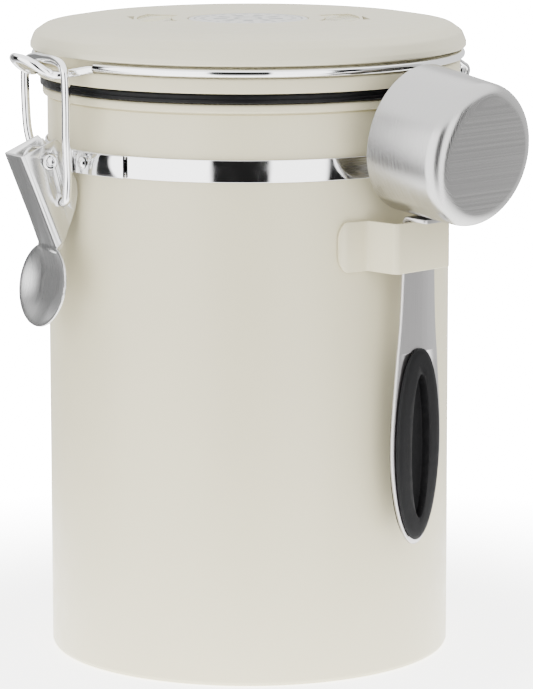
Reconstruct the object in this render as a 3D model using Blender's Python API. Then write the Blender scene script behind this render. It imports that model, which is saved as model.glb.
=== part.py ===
"""Coffee tin: a painted steel canister with a hinged lid, a lever latch and a hanging scoop.

Metres, +Z up. The origin is the middle of the base's underside. The latch faces -Y, the lid's
hinge faces +Y, and the scoop hangs on the +X side. An azimuth is measured from -Y towards +X.
"""

import math

import bmesh
import bpy
from mathutils import Matrix, Vector

MM = 0.001
GAP = 0.3 * MM  # between two pieces that touch
SEGMENTS = 48  # of everything turned about the tin's axis

# Canister
BODY_RADIUS = 57.5 * MM
WALL = 0.8 * MM
RIM_RADIUS = 58.8 * MM
RIM_BOTTOM = 160.1 * MM
RIM_TOP = 162.9 * MM

# Strap round the neck
BAND_INNER = BODY_RADIUS + 0.25 * MM
BAND_OUTER = BAND_INNER + 0.5 * MM
BAND_LOW = 141.5 * MM
BAND_HIGH = 147.7 * MM
BAND_MIDDLE = (BAND_LOW + BAND_HIGH) / 2
FOOT_RADIUS = BAND_OUTER + 0.75 * MM  # middle of the sheet of a foot that lies on the strap
SHEET = 0.8 * MM
LATCH_RIVET_AZIMUTH = 9.2
HINGE_RIVET_AZIMUTH = 13

# Lid
PLUG_RADIUS = 55.3 * MM
PLUG_BOTTOM = 155.6 * MM
FLANGE_RADIUS = 60.5 * MM
FLANGE_LOW = 165.95 * MM
FLANGE_HIGH = 170.05 * MM
RING_RADIUS = 60.6 * MM
RING_HEIGHT = 171.7 * MM
RING_WIRE = 1.3 * MM
COVER_RADIUS = 62.2 * MM
COVER_LOW = 173.65 * MM
COVER_TOP = 181.4 * MM
COVER_UNDERSIDE = 179.7 * MM
DECK = 177.5 * MM  # top of the lid's core
CAP_RADIUS = 17.1 * MM
CAP_HOLE = 17.4 * MM
WELL_RADIUS = 13.4 * MM
WELL_FLOOR = 170.2 * MM
VENT_BORE = 8.0 * MM

# Date wheels, one under each window of the lid
WINDOW_AZIMUTHS = {"month": -30, "day": 150}
WHEEL_RADIUS = 16.5 * MM
WHEEL_DISTANCE = 36.0 * MM
WHEEL_BOTTOM = DECK + GAP
WHEEL_THICKNESS = 0.9 * MM
PIVOT_RADIUS = 1.8 * MM
WINDOW_INNER = 22.0 * MM
WINDOW_OUTER = 31.6 * MM
WINDOW_HALF_ANGLE = 24

# Lid hinge
HINGE_Y = 68.0 * MM
HINGE_Z = 163.5 * MM
HINGE_PIN = 0.9 * MM
HINGE_EYE = 2.6 * MM
BRACKET_EAR = 6.6 * MM  # middle of the sheet, from the middle plane
LID_EAR = BRACKET_EAR + SHEET + GAP

# Latch. A place on it is (outwards from the tin's axis, up).
LEVER_PIVOT = (66.9 * MM, 145.0 * MM)
TOGGLE_PIVOT = (63.0 * MM, 133.5 * MM)
LEVER_HALF_WIDTH = 5.8 * MM
EAR_OFFSET = LEVER_HALF_WIDTH - SHEET - GAP - SHEET / 2
EAR_EYE = 3.3 * MM
LATCH_PIN = 1.6 * MM
WEB_TOP = (75.4 * MM, 146.7 * MM)
WEB_BOTTOM = (64.9 * MM, 121.0 * MM)
TOGGLE_WIRE = 1.25 * MM
ARCH_HEIGHT = 173.1 * MM
ARCH_DISTANCE = 65.1 * MM
CATCH_GAP = 16.3  # half the angle of the ring's gap, which the catch loop closes

# Scoop and its holder
SCOOP_AZIMUTH = 105
HOLDER_LOW = 115.8 * MM
HOLDER_HIGH = 129.8 * MM
HOLDER_SHEET = 0.9 * MM
HOLDER_BRIDGE = 68.0 * MM
HOLDER_HALF_WIDTH = 10.8 * MM
CUP_TILT = 7.9
CUP_MOUTH = (66.0 * MM, 152.5 * MM)
CUP_RADIUS = 20.75 * MM
CUP_BOTTOM_RADIUS = 19.9 * MM
CUP_CORNER = 5.0 * MM
CUP_DEPTH = 25.8 * MM
HANDLE_DISTANCE = 66.3 * MM  # at the holder
HANDLE_LEAN = 0.0156  # how far the handle comes inwards for each unit further down
HANDLE_SHEET = 1.1 * MM
GRIP_MIDDLE = 66.7 * MM
GRIP_HALF_WIDTH = 8.8 * MM
GRIP_HALF_HEIGHT = 27.2 * MM

CREAM = ((0.67, 0.65, 0.56, 1), 0.45, 0.0)
WHEEL_CREAM = ((0.72, 0.69, 0.55, 1), 0.5, 0.0)
POLISHED = ((0.80, 0.80, 0.80, 1), 0.08, 1.0)
BRUSHED = ((0.60, 0.60, 0.60, 1), 0.32, 1.0)
RUBBER = ((0.02, 0.02, 0.02, 1), 0.7, 0.0)
FELT = ((0.75, 0.75, 0.72, 1), 0.95, 0.0)
CLEAR = ((0.80, 0.78, 0.66, 1), 0.1, 0.0)


def clear_scene():
    for item in list(bpy.data.objects):
        bpy.data.objects.remove(item, do_unlink=True)


def finish(name, look):
    """The material of that name, made from its colour, roughness and metallic value."""
    material = bpy.data.materials.get(name) or bpy.data.materials.new(name)
    material.use_nodes = True
    shader = material.node_tree.nodes["Principled BSDF"]
    colour, roughness, metallic = look
    shader.inputs["Base Color"].default_value = colour
    shader.inputs["Roughness"].default_value = roughness
    shader.inputs["Metallic"].default_value = metallic
    return material


# Places and directions


def outward(azimuth):
    angle = math.radians(azimuth)
    return Vector((math.sin(angle), -math.cos(angle), 0))


def sideways(azimuth):
    angle = math.radians(azimuth)
    return Vector((math.cos(angle), math.sin(angle), 0))


def spot(azimuth, side, out, up):
    """The point that far sideways, outwards and up, seen from outside at the azimuth."""
    return sideways(azimuth) * side + outward(azimuth) * out + Vector((0, 0, up))


def axes(x, y, z, origin):
    """The matrix that puts local X, Y and Z along those directions, from the origin."""
    matrix = Matrix((x, y, z)).transposed().to_4x4()
    matrix.translation = origin
    return matrix


def facing_out(azimuth, side, out, up, tilt=0):
    """Local Z points outwards there, tipped down by tilt degrees, and local X sideways."""
    x = sideways(azimuth)
    z = Matrix.Rotation(math.radians(tilt), 3, x) @ outward(azimuth)
    return axes(x, z.cross(x), z, spot(azimuth, side, out, up))


def facing_sideways(azimuth, side, out, up):
    """Local Z points sideways there."""
    up_axis = Vector((0, 0, 1))
    return axes(up_axis, outward(azimuth), sideways(azimuth), spot(azimuth, side, out, up))


# Shapes


def closed_mesh(name, bm):
    bmesh.ops.recalc_face_normals(bm, faces=bm.faces)
    mesh = bpy.data.meshes.new(name)
    bm.to_mesh(mesh)
    bm.free()
    mesh.shade_smooth()
    mesh.set_sharp_from_angle(angle=math.radians(35))
    return mesh


def turned(name, profile, segments=SEGMENTS, matrix=None):
    """A closed profile of (radius, height) points, turned about local Z."""
    bm = bmesh.new()
    rings = []
    for radius, height in profile:
        count = segments if radius > 0 else 1
        steps = [2 * math.pi * k / count for k in range(count)]
        rings.append(
            [bm.verts.new((radius * math.cos(a), radius * math.sin(a), height)) for a in steps]
        )
    for lower, upper in zip(rings, rings[1:] + rings[:1]):
        if len(lower) == len(upper) == 1:
            continue
        for k in range(segments):
            after = (k + 1) % segments
            corners = [lower[k % len(lower)], lower[after % len(lower)]]
            corners += [upper[after % len(upper)], upper[k % len(upper)]]
            bm.faces.new(dict.fromkeys(corners))
    bm.transform(matrix or Matrix.Identity(4))
    return closed_mesh(name, bm)


def cylinder(name, radius, low, high, segments=24, matrix=None):
    profile = [(0, low), (radius, low), (radius, high), (0, high)]
    return turned(name, profile, segments, matrix)


def plate(name, outline, low, high, place):
    """A flat outline of (a, b) points, made solid between two levels of the third direction."""
    bm = bmesh.new()
    bottom = [bm.verts.new(place(a, b, low)) for a, b in outline]
    top = [bm.verts.new(place(a, b, high)) for a, b in outline]
    bm.faces.new(bottom)
    bm.faces.new(top)
    for k in range(len(outline)):
        after = (k + 1) % len(outline)
        bm.faces.new((bottom[k], bottom[after], top[after], top[k]))
    return closed_mesh(name, bm)


def mitres(path):
    """The sideways direction at each point of a flat path, longer where it bends."""
    points = [Vector(p) for p in path]
    result = []
    for k, point in enumerate(points):
        before = (point - points[k - 1]).normalized() if k else None
        after = (points[k + 1] - point).normalized() if k + 1 < len(points) else None
        before, after = before or after, after or before
        along = (before + after).normalized()
        result.append(Vector((-along.y, along.x)) / max(along.dot(after), 0.3))
    return result


def bent_sheet(name, path, thickness, edges, place):
    """Sheet that follows a flat path. edges gives its two edges' levels at each point."""
    bm = bmesh.new()
    stations = []
    for point, across, (low, high) in zip(path, mitres(path), edges):
        half = across * thickness / 2
        one, other = Vector(point) + half, Vector(point) - half
        corners = [(*one, low), (*one, high), (*other, high), (*other, low)]
        stations.append([bm.verts.new(place(*corner)) for corner in corners])
    for here, there in zip(stations, stations[1:]):
        for k in range(4):
            after = (k + 1) % 4
            bm.faces.new((here[k], here[after], there[after], there[k]))
    bm.faces.new(stations[0])
    bm.faces.new(stations[-1])
    return closed_mesh(name, bm)


def smooth_path(points, steps=5):
    """Points along a smooth curve through the given ones."""
    points = [Vector(p) for p in points]
    padded = [2 * points[0] - points[1], *points, 2 * points[-1] - points[-2]]
    result = []
    for a, b, c, d in zip(padded, padded[1:], padded[2:], padded[3:]):
        for k in range(steps):
            t = k / steps
            result.append(
                b
                + (c - a) * t / 2
                + (2 * a - 5 * b + 4 * c - d) * t**2 / 2
                + (3 * b - a - 3 * c + d) * t**3 / 2
            )
    return result + [points[-1]]


def wire_curve(name, points, radius):
    """Round wire along an open path, with filled ends."""
    curve = bpy.data.curves.new(name, "CURVE")
    curve.dimensions = "3D"
    curve.bevel_depth = radius
    curve.bevel_resolution = 2
    curve.use_fill_caps = True
    spline = curve.splines.new("POLY")
    spline.points.add(len(points) - 1)
    for place, point in zip(spline.points, points):
        place.co = (*point, 1)
    return curve


def arc(centre, radius, start, end, steps):
    """Points (a, b) of an arc between two angles in degrees."""
    angles = [math.radians(start + (end - start) * k / steps) for k in range(steps + 1)]
    return [(centre[0] + radius * math.cos(a), centre[1] + radius * math.sin(a)) for a in angles]


def oval(half_width, half_height, middle, steps):
    """An outline of (side, up) points, round like an egg seen from its side."""
    angles = [2 * math.pi * k / steps for k in range(steps)]
    return [(half_width * math.cos(a), middle + half_height * math.sin(a)) for a in angles]


# Assembly


def body(name, origin, parent=None):
    """An empty on a body's joint axis, which its pieces hang from."""
    empty = bpy.data.objects.new(name, None)
    bpy.context.collection.objects.link(empty)
    empty.empty_display_size = 10 * MM
    empty.location = Vector(origin) - (parent["origin"] if parent else Vector())
    if parent:
        empty.parent = parent["empty"]
    return {"empty": empty, "origin": Vector(origin)}


def add(name, shape, owner, material_name, look):
    """A piece of a body, from a shape that was modelled in its place on the tin."""
    shape.transform(Matrix.Translation(-owner["origin"]))
    piece = bpy.data.objects.new(name, shape)
    bpy.context.collection.objects.link(piece)
    piece.parent = owner["empty"]
    piece.data.materials.append(finish(material_name, look))
    return piece


def combine(piece, shape, operation):
    """Cut a shape from a piece, or join it to the piece."""
    shape.transform(Matrix.Translation(-piece.parent.matrix_world.translation))
    tool = bpy.data.objects.new(f"{piece.name}_{shape.name}", shape)
    bpy.context.collection.objects.link(tool)
    tool.parent = piece.parent
    tool.hide_render = True
    tool.display_type = "WIRE"
    boolean = piece.modifiers.new(shape.name, "BOOLEAN")
    boolean.object = tool
    boolean.operation = operation


def cut(piece, shape):
    combine(piece, shape, "DIFFERENCE")


def join(piece, shape):
    combine(piece, shape, "UNION")


# Canister and neck


def canister_shell(owner):
    inner = BODY_RADIUS - WALL
    profile = [
        (0, 0),
        (BODY_RADIUS - 1.3 * MM, 0),
        (BODY_RADIUS - 0.4 * MM, 0.4 * MM),
        (BODY_RADIUS, 1.3 * MM),
        (BODY_RADIUS, RIM_BOTTOM),
        (RIM_RADIUS - 0.3 * MM, RIM_BOTTOM + 0.3 * MM),
        (RIM_RADIUS, RIM_BOTTOM + 0.9 * MM),
        (RIM_RADIUS, RIM_TOP - 0.6 * MM),
        (RIM_RADIUS - 0.5 * MM, RIM_TOP),
        (inner + 0.4 * MM, RIM_TOP),
        (inner, RIM_TOP - 0.5 * MM),
        (inner, WALL + 1.0 * MM),
        (inner - 1.0 * MM, WALL),
        (0, WALL),
    ]
    add("canister_shell", turned("canister_shell", profile), owner, "cream_paint", CREAM)


def rivet_hole(azimuth, name):
    """A hole for a rivet through the strap and a foot on it."""
    return cylinder(name, 1.2 * MM, -2 * MM, 2 * MM, 12, facing_out(azimuth, 0, BAND_OUTER, BAND_MIDDLE))


def neck_band(owner, rivet_azimuths):
    profile = [
        (BAND_INNER, BAND_LOW),
        (BAND_OUTER, BAND_LOW),
        (BAND_OUTER, BAND_HIGH),
        (BAND_INNER, BAND_HIGH),
    ]
    band = add("neck_band", turned("neck_band", profile), owner, "polished_steel", POLISHED)
    for azimuth in rivet_azimuths:
        cut(band, rivet_hole(azimuth, f"rivet_hole_{azimuth}"))


def rivet(name, azimuth, owner):
    """A domed rivet through a foot and the strap under it."""
    head_base = FOOT_RADIUS + SHEET / 2 + 0.25 * MM
    profile = [
        (0, BAND_INNER),
        (0.85 * MM, BAND_INNER),
        (0.85 * MM, head_base),
        (1.85 * MM, head_base),
        (1.7 * MM, head_base + 0.5 * MM),
        (1.1 * MM, head_base + 0.95 * MM),
        (0, head_base + 1.1 * MM),
    ]
    matrix = facing_out(azimuth, 0, 0, BAND_MIDDLE)
    add(name, turned(name, profile, 16, matrix), owner, "polished_steel", POLISHED)


def latch_ear(name, hand, owner):
    """A foot on the strap, bent outwards inside the lever's cheek to carry its pin."""
    angles = [math.radians(azimuth) for azimuth in (24.5, 19, 13.5)]
    foot = [(FOOT_RADIUS * math.sin(a), FOOT_RADIUS * math.cos(a)) for a in angles]
    bend = (EAR_OFFSET, FOOT_RADIUS + 0.25 * MM)
    out, up = LEVER_PIVOT
    angles = [math.radians(angle) for angle in (0, 25, 50, 72)]
    round_end = [(out + EAR_EYE * math.sin(a), EAR_EYE * math.cos(a)) for a in angles]
    path = foot + [bend] + [(EAR_OFFSET, distance) for distance, _ in round_end]
    edges = [(BAND_LOW, BAND_HIGH)] * 4 + [(up - half, up + half) for _, half in round_end]
    ear = bent_sheet(name, path, SHEET, edges, lambda s, r, z: spot(0, hand * s, r, z))
    piece = add(name, ear, owner, "polished_steel", POLISHED)
    matrix = facing_sideways(0, hand * EAR_OFFSET, out, up)
    cut(piece, cylinder("pin_hole", LATCH_PIN + GAP, -1 * MM, 1 * MM, 24, matrix))
    cut(piece, rivet_hole(hand * LATCH_RIVET_AZIMUTH, "rivet_hole"))


def lever_pin(owner):
    """A tubular rivet through both of the lever's cheeks and both ears."""
    head = LEVER_HALF_WIDTH + GAP
    end, hollow, floor = head + 0.7 * MM, 1.1 * MM, head - 0.9 * MM
    profile = [
        (0, -floor),
        (hollow, -floor),
        (hollow, -end + 0.2 * MM),
        (1.4 * MM, -end),
        (2.0 * MM, -end),
        (2.25 * MM, -end + 0.35 * MM),
        (2.25 * MM, -head),
        (LATCH_PIN, -head),
    ]
    profile += [(radius, -level) for radius, level in reversed(profile)]
    matrix = facing_sideways(0, 0, *LEVER_PIVOT)
    add("lever_pin", turned("lever_pin", profile, 20, matrix), owner, "polished_steel", POLISHED)


# Latch


def on_lever(out, up, side):
    return spot(0, side, out, up)


def latch_lever(owner):
    """A channel of sheet with a dished thumb tab at its foot."""
    lean = (WEB_TOP[0] - WEB_BOTTOM[0]) / (WEB_TOP[1] - WEB_BOTTOM[1])
    cheek_back = [(64.8, 151.2), (62.0, 148.6), (60.3, 146.2), (59.8, 141.2), (58.6, 139.4), (58.3, 136.0)]
    cheek_back += [(58.8, 132.8), (59.7, 129.7), (61.2, 126.0), (62.5, 122.9), (63.6, 120.6)]
    neck = [(64.2 * MM, 119.2 * MM), (65.25 * MM, 119.2 * MM)]
    outline = [WEB_TOP] + [(a * MM, b * MM) for a, b in cheek_back] + neck + [WEB_BOTTOM]
    channel = plate("latch_lever", outline, -LEVER_HALF_WIDTH, LEVER_HALF_WIDTH, on_lever)
    lever = add("latch_lever", channel, owner, "polished_steel", POLISHED)

    low, high, behind = WEB_BOTTOM[1] + 2.4 * MM, 160 * MM, 50 * MM

    def web_inside(up):
        return WEB_BOTTOM[0] + lean * (up - WEB_BOTTOM[1]) - SHEET * 1.08

    hollow = [(web_inside(high), high), (behind, high), (behind, low), (web_inside(low), low)]
    inner = LEVER_HALF_WIDTH - SHEET
    cut(lever, plate("hollow", hollow, -inner, inner, on_lever))
    for name, (out, up), radius in (
        ("pin_hole", LEVER_PIVOT, LATCH_PIN + GAP),
        ("toggle_hole", TOGGLE_PIVOT, TOGGLE_WIRE + GAP),
    ):
        matrix = facing_sideways(0, 0, out, up)
        cut(lever, cylinder(name, radius, -10 * MM, 10 * MM, 20, matrix))
    join(lever, thumb_tab())


def thumb_tab():
    """A shallow oval dish, hollow on its outer side, tipped so that its foot stands out."""
    half_width, half_height, lift = 13.6 * MM, 11.9 * MM, 10.5
    rim, floor, depth = 1.0, 0.40, 2.6 * MM
    profile = [
        (0, -depth),
        (floor, -depth),
        (0.78, -0.9 * MM),
        (0.93, -0.1 * MM),
        (rim, 0),
        (rim, -SHEET),
        (0.92, -SHEET - 0.2 * MM),
        (0.75, -SHEET - 1.1 * MM),
        (floor - 0.03, -depth - SHEET),
        (0, -depth - SHEET),
    ]
    scale = Matrix.Diagonal((half_width, half_height, 1, 1))
    matrix = facing_out(0, 0, 67.0 * MM, 109.9 * MM, -lift)
    return turned("thumb_tab", profile, 24, matrix @ scale)


def toggle_wire(owner):
    """An arch of wire whose two ends hook into the lever's cheeks."""
    out, up = TOGGLE_PIVOT
    half = [
        (LEVER_HALF_WIDTH - 2.0 * MM, out, up),
        (LEVER_HALF_WIDTH + 0.4 * MM, out, up),
        (LEVER_HALF_WIDTH + 2.3 * MM, out, up + 0.9 * MM),
        (LEVER_HALF_WIDTH + 2.9 * MM, out, up + 3.0 * MM),
        (9.1 * MM, 63.0 * MM, 140.5 * MM),
        (10.3 * MM, 63.8 * MM, 146.0 * MM),
        (11.7 * MM, 64.7 * MM, 152.0 * MM),
        (12.3 * MM, 64.95 * MM, 158.5 * MM),
        (12.4 * MM, ARCH_DISTANCE, 166.5 * MM),
        (11.8 * MM, ARCH_DISTANCE, 170.3 * MM),
        (9.6 * MM, ARCH_DISTANCE, 172.3 * MM),
        (5.5 * MM, ARCH_DISTANCE, ARCH_HEIGHT),
    ]
    other = [(-s, r, z) for s, r, z in reversed(half)]
    route = [spot(0, *place) for place in half + [(0, ARCH_DISTANCE, ARCH_HEIGHT)] + other]
    curve = wire_curve("toggle_wire", smooth_path(route, 2), TOGGLE_WIRE)
    add("toggle_wire", curve, owner, "polished_steel", POLISHED)


def catch_loop(owner):
    """The nose of wire that closes the lid's ring, which the toggle wire pulls down on."""
    along = [(60.8, 15.9, 171.2), (61.3, 14.0, 170.9), (62.3, 11.8, 170.3), (63.2, 9.2, 169.7)]
    half = []
    for radius, azimuth, up in along:
        angle = math.radians(azimuth)
        half.append((radius * math.sin(angle), radius * math.cos(angle), up))
    half += [(8.0, 64.0, 169.2), (7.0, 66.1, 169.3), (6.7, 68.5, 170.3), (5.6, 71.0, 172.0)]
    half += [(3.4, 73.0, 173.4)]
    other = [(-side, out, up) for side, out, up in reversed(half)]
    route = [spot(0, *place) * MM for place in half + [(0, 74.0, 173.8)] + other]
    curve = wire_curve("catch_loop", smooth_path(route, 2), TOGGLE_WIRE)
    add("catch_loop", curve, owner, "polished_steel", POLISHED)


# Lid


def lid_cover(owner):
    """The domed cap of the lid, with a hole for the valve cap and a window for each wheel."""
    outer = [
        (COVER_RADIUS - 1.2 * MM, COVER_LOW),
        (COVER_RADIUS - 0.2 * MM, COVER_LOW),
        (COVER_RADIUS, COVER_LOW + 0.9 * MM),
        (61.8 * MM, 176.4 * MM),
        (60.9 * MM, 178.0 * MM),
        (59.4 * MM, 179.2 * MM),
        (57.0 * MM, 180.2 * MM),
        (53.0 * MM, 181.0 * MM),
        (46.0 * MM, COVER_TOP),
        (CAP_HOLE + 0.3 * MM, COVER_TOP),
        (CAP_HOLE, COVER_TOP - 0.3 * MM),
    ]
    inner = [
        (CAP_HOLE, COVER_UNDERSIDE),
        (50.0 * MM, COVER_UNDERSIDE),
        (55.0 * MM, 179.2 * MM),
        (58.3 * MM, 178.1 * MM),
        (60.1 * MM, 176.6 * MM),
        (60.95 * MM, 174.9 * MM),
    ]
    cover = add("lid_cover", turned("lid_cover", outer + inner), owner, "cream_plastic", CREAM)
    for name, azimuth in WINDOW_AZIMUTHS.items():
        cut(cover, window(f"{name}_window", azimuth, GAP, COVER_UNDERSIDE - 2 * MM, COVER_TOP + 2 * MM))
        slot = [(32.6, 5.5), (34.9, -6.0), (32.6, -6.0)]
        outline = [(side * MM, out * MM) for out, side in slot]
        place = placed_at(azimuth)
        cut(cover, plate(f"{name}_slot", outline, COVER_UNDERSIDE - 2 * MM, COVER_TOP + 2 * MM, place))


def placed_at(azimuth):
    return lambda side, out, up: spot(azimuth, side, out, up)


def window(name, azimuth, margin, low, high):
    """A sector of the lid's top between two circles round its middle, grown by a margin."""
    half = WINDOW_HALF_ANGLE + math.degrees(margin / WINDOW_OUTER)
    outer = arc((0, 0), WINDOW_OUTER + margin, 90 - half, 90 + half, 8)
    inner = arc((0, 0), WINDOW_INNER - margin, 90 + half, 90 - half, 6)
    return plate(name, outer + inner, low, high, placed_at(azimuth))


def lid_core(owner):
    """The plug, the flange over the gasket and the groove that holds the lid's ring."""
    profile = [
        (VENT_BORE, PLUG_BOTTOM),
        (PLUG_RADIUS - 1.0 * MM, PLUG_BOTTOM),
        (PLUG_RADIUS, PLUG_BOTTOM + 1.0 * MM),
        (PLUG_RADIUS, FLANGE_LOW),
        (FLANGE_RADIUS - 0.3 * MM, FLANGE_LOW),
        (FLANGE_RADIUS, FLANGE_LOW + 0.4 * MM),
        (FLANGE_RADIUS, FLANGE_HIGH - 0.4 * MM),
        (FLANGE_RADIUS - 0.3 * MM, FLANGE_HIGH),
        (RING_RADIUS - RING_WIRE - 0.4 * MM, FLANGE_HIGH),
        (RING_RADIUS - RING_WIRE - 0.4 * MM, COVER_LOW - GAP),
        (COVER_RADIUS - 1.6 * MM, COVER_LOW - GAP),
        (COVER_RADIUS - 1.6 * MM, COVER_LOW + 0.9 * MM),
        (59.4 * MM, 176.4 * MM),
        (57.0 * MM, DECK),
        (WELL_RADIUS, DECK),
        (WELL_RADIUS, WELL_FLOOR),
        (VENT_BORE, WELL_FLOOR),
    ]
    core = add("lid_core", turned("lid_core", profile), owner, "cream_plastic", CREAM)
    for name, azimuth in WINDOW_AZIMUTHS.items():
        matrix = Matrix.Translation(spot(azimuth, 0, WHEEL_DISTANCE, 0))
        hole = cylinder(f"{name}_hole", PIVOT_RADIUS + GAP, DECK - 2.6 * MM, DECK + 1 * MM, 20, matrix)
        cut(core, hole)


def lid_gasket(owner):
    inner, outer = PLUG_RADIUS + 0.35 * MM, 59.5 * MM
    low, high = RIM_TOP + GAP, FLANGE_LOW - GAP
    profile = [(inner, low), (outer, low), (outer, high), (inner, high)]
    add("lid_gasket", turned("lid_gasket", profile), owner, "black_rubber", RUBBER)


def lid_ring(owner):
    """A ring of wire round the lid, open where the catch loop closes it."""
    profile = arc((RING_RADIUS, RING_HEIGHT), RING_WIRE, 0, 300, 5)
    ring = add("lid_ring", turned("lid_ring", profile), owner, "polished_steel", POLISHED)
    angle = math.radians(CATCH_GAP)
    side, out = 80 * MM * math.sin(angle), 80 * MM * math.cos(angle)
    wedge = [(0, 0), (side, out), (-side, out)]
    low, high = RING_HEIGHT - 5 * MM, RING_HEIGHT + 5 * MM
    cut(ring, plate("catch_gap", wedge, low, high, placed_at(0)))


def lid_liner(owner):
    high = PLUG_BOTTOM - GAP
    low, outer, inner = high - 0.9 * MM, PLUG_RADIUS - 0.4 * MM, VENT_BORE + 0.3 * MM
    profile = [(inner, low), (outer, low), (outer, high), (inner, high)]
    add("lid_liner", turned("lid_liner", profile), owner, "polished_steel", POLISHED)


def hinge_ear_outline():
    """(outwards, up) points of an ear that hangs from the lid's ring down to the hinge pin."""
    eye = arc((HINGE_Y, HINGE_Z), HINGE_EYE, 50, -130, 9)
    root_in, root_out, root_top = 61.2 * MM, 62.4 * MM, 170.0 * MM
    return [(root_out, root_top)] + eye + [(root_in, 164.2 * MM), (root_in, root_top)]


def hinge_ear(name, hand, owner):
    middle = hand * LID_EAR
    low, high = middle - SHEET / 2, middle + SHEET / 2
    shape = plate(name, hinge_ear_outline(), low, high, lambda r, z, s: spot(180, s, r, z))
    piece = add(name, shape, owner, "polished_steel", POLISHED)
    matrix = facing_sideways(180, middle, HINGE_Y, HINGE_Z)
    cut(piece, cylinder("pin_hole", HINGE_PIN + GAP, -2 * MM, 2 * MM, 16, matrix))


# Hinge parts on the canister


def hinge_bracket(owner):
    """A foot on the strap with two arms up to the hinge pin."""
    angles = [math.radians(a) for a in (-17, -12, -6, 0, 6, 12, 17)]
    path = [(FOOT_RADIUS * math.sin(a), FOOT_RADIUS * math.cos(a)) for a in angles]
    edges = [(BAND_LOW, BAND_HIGH)] * len(path)
    foot = bent_sheet("hinge_bracket", path, SHEET, edges, placed_at(180))
    bracket = add("hinge_bracket", foot, owner, "polished_steel", POLISHED)
    root = 58.4 * MM
    eye = arc((HINGE_Y, HINGE_Z), HINGE_EYE, -20, 160, 9)
    arm = [(root, BAND_HIGH), (root, BAND_LOW), (61.5 * MM, BAND_LOW), (66.5 * MM, 150.0 * MM)]
    arm += eye + [(62.6 * MM, 152.5 * MM), (60.8 * MM, BAND_HIGH)]
    for name, hand in (("left_arm", -1), ("right_arm", 1)):
        middle = hand * BRACKET_EAR
        low, high = middle - SHEET / 2, middle + SHEET / 2
        join(bracket, plate(name, arm, low, high, lambda r, z, s: spot(180, s, r, z)))
    matrix = facing_sideways(180, 0, HINGE_Y, HINGE_Z)
    cut(bracket, cylinder("pin_hole", HINGE_PIN + GAP, -12 * MM, 12 * MM, 16, matrix))
    for hand in (-1, 1):
        cut(bracket, rivet_hole(180 + hand * HINGE_RIVET_AZIMUTH, f"rivet_hole_{hand}"))


def hinge_pin(owner):
    matrix = facing_sideways(180, 0, HINGE_Y, HINGE_Z)
    pin = cylinder("hinge_pin", HINGE_PIN, -LID_EAR, LID_EAR, 16, matrix)
    add("hinge_pin", pin, owner, "polished_steel", POLISHED)


# Breather valve, in the middle of the lid, from the bottom up


def valve_filter(owner):
    low = WELL_FLOOR + GAP
    disc = cylinder("valve_filter", WELL_RADIUS - 0.4 * MM, low, low + 1.4 * MM, 32)
    add("valve_filter", disc, owner, "felt", FELT)


SEAT_LOW = WELL_FLOOR + 2.0 * MM
SEAT_HIGH = SEAT_LOW + 1.6 * MM
MEMBRANE_LOW = SEAT_HIGH + GAP
MEMBRANE_THICKNESS = 0.8 * MM
MEMBRANE_TRAVEL = 0.8 * MM


def valve_seat(owner):
    """A disc with a ring of gas holes that the membrane closes."""
    disc = cylinder("valve_seat", WELL_RADIUS - 0.4 * MM, SEAT_LOW, SEAT_HIGH, 32)
    seat = add("valve_seat", disc, owner, "cream_plastic", CREAM)
    for k in range(6):
        matrix = Matrix.Translation(spot(60 * k + 8, 0, 4.7 * MM, 0))
        cut(seat, cylinder(f"gas_hole_{k}", 1.2 * MM, SEAT_LOW - 1 * MM, SEAT_HIGH + 1 * MM, 12, matrix))


def valve_membrane(owner):
    high = MEMBRANE_LOW + MEMBRANE_THICKNESS
    disc = cylinder("valve_membrane", 8.5 * MM, MEMBRANE_LOW, high, 32)
    add("valve_membrane", disc, owner, "black_rubber", RUBBER)


def valve_cap(owner):
    """The round cap in the lid's top: a skirt round the membrane and a stop over it."""
    skirt_outer, skirt_inner, stop = WELL_RADIUS - 0.4 * MM, 11.0 * MM, 2.0 * MM
    stop_bottom = MEMBRANE_LOW + MEMBRANE_THICKNESS + MEMBRANE_TRAVEL + 0.3 * MM
    ceiling, shoulder, top = 178.6 * MM, COVER_UNDERSIDE + GAP, COVER_TOP - 0.1 * MM
    profile = [
        (0, stop_bottom),
        (stop, stop_bottom),
        (stop, ceiling),
        (skirt_inner, ceiling),
        (skirt_inner, MEMBRANE_LOW),
        (skirt_outer, MEMBRANE_LOW),
        (skirt_outer, shoulder),
        (CAP_RADIUS, shoulder),
        (CAP_RADIUS, top - 0.3 * MM),
        (CAP_RADIUS - 0.3 * MM, top),
        (0, top),
    ]
    add("valve_cap", turned("valve_cap", profile, 32), owner, "cream_plastic", CREAM)


# Date wheels


def date_wheel(name, azimuth, owner):
    centre = spot(azimuth, 0, WHEEL_DISTANCE, 0)
    bore = PIVOT_RADIUS + GAP
    low, high = WHEEL_BOTTOM, WHEEL_BOTTOM + WHEEL_THICKNESS
    profile = [(bore, low), (WHEEL_RADIUS, low), (WHEEL_RADIUS, high), (bore, high)]
    disc = turned(f"{name}_wheel", profile, 32, Matrix.Translation(centre))
    add(f"{name}_wheel", disc, owner, "wheel_plastic", WHEEL_CREAM)


def wheel_pivot(name, azimuth, owner):
    """The headed stud in the lid's core that a date wheel turns on."""
    centre = spot(azimuth, 0, WHEEL_DISTANCE, 0)
    head_low = WHEEL_BOTTOM + WHEEL_THICKNESS + GAP
    head_high = COVER_UNDERSIDE - 0.25 * MM
    low = DECK - 2.3 * MM
    profile = [(0, low), (PIVOT_RADIUS, low), (PIVOT_RADIUS, head_low)]
    profile += [(3.0 * MM, head_low), (3.0 * MM, head_high), (0, head_high)]
    stud = turned(f"{name}_pivot", profile, 20, Matrix.Translation(centre))
    add(f"{name}_pivot", stud, owner, "polished_steel", POLISHED)


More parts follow.
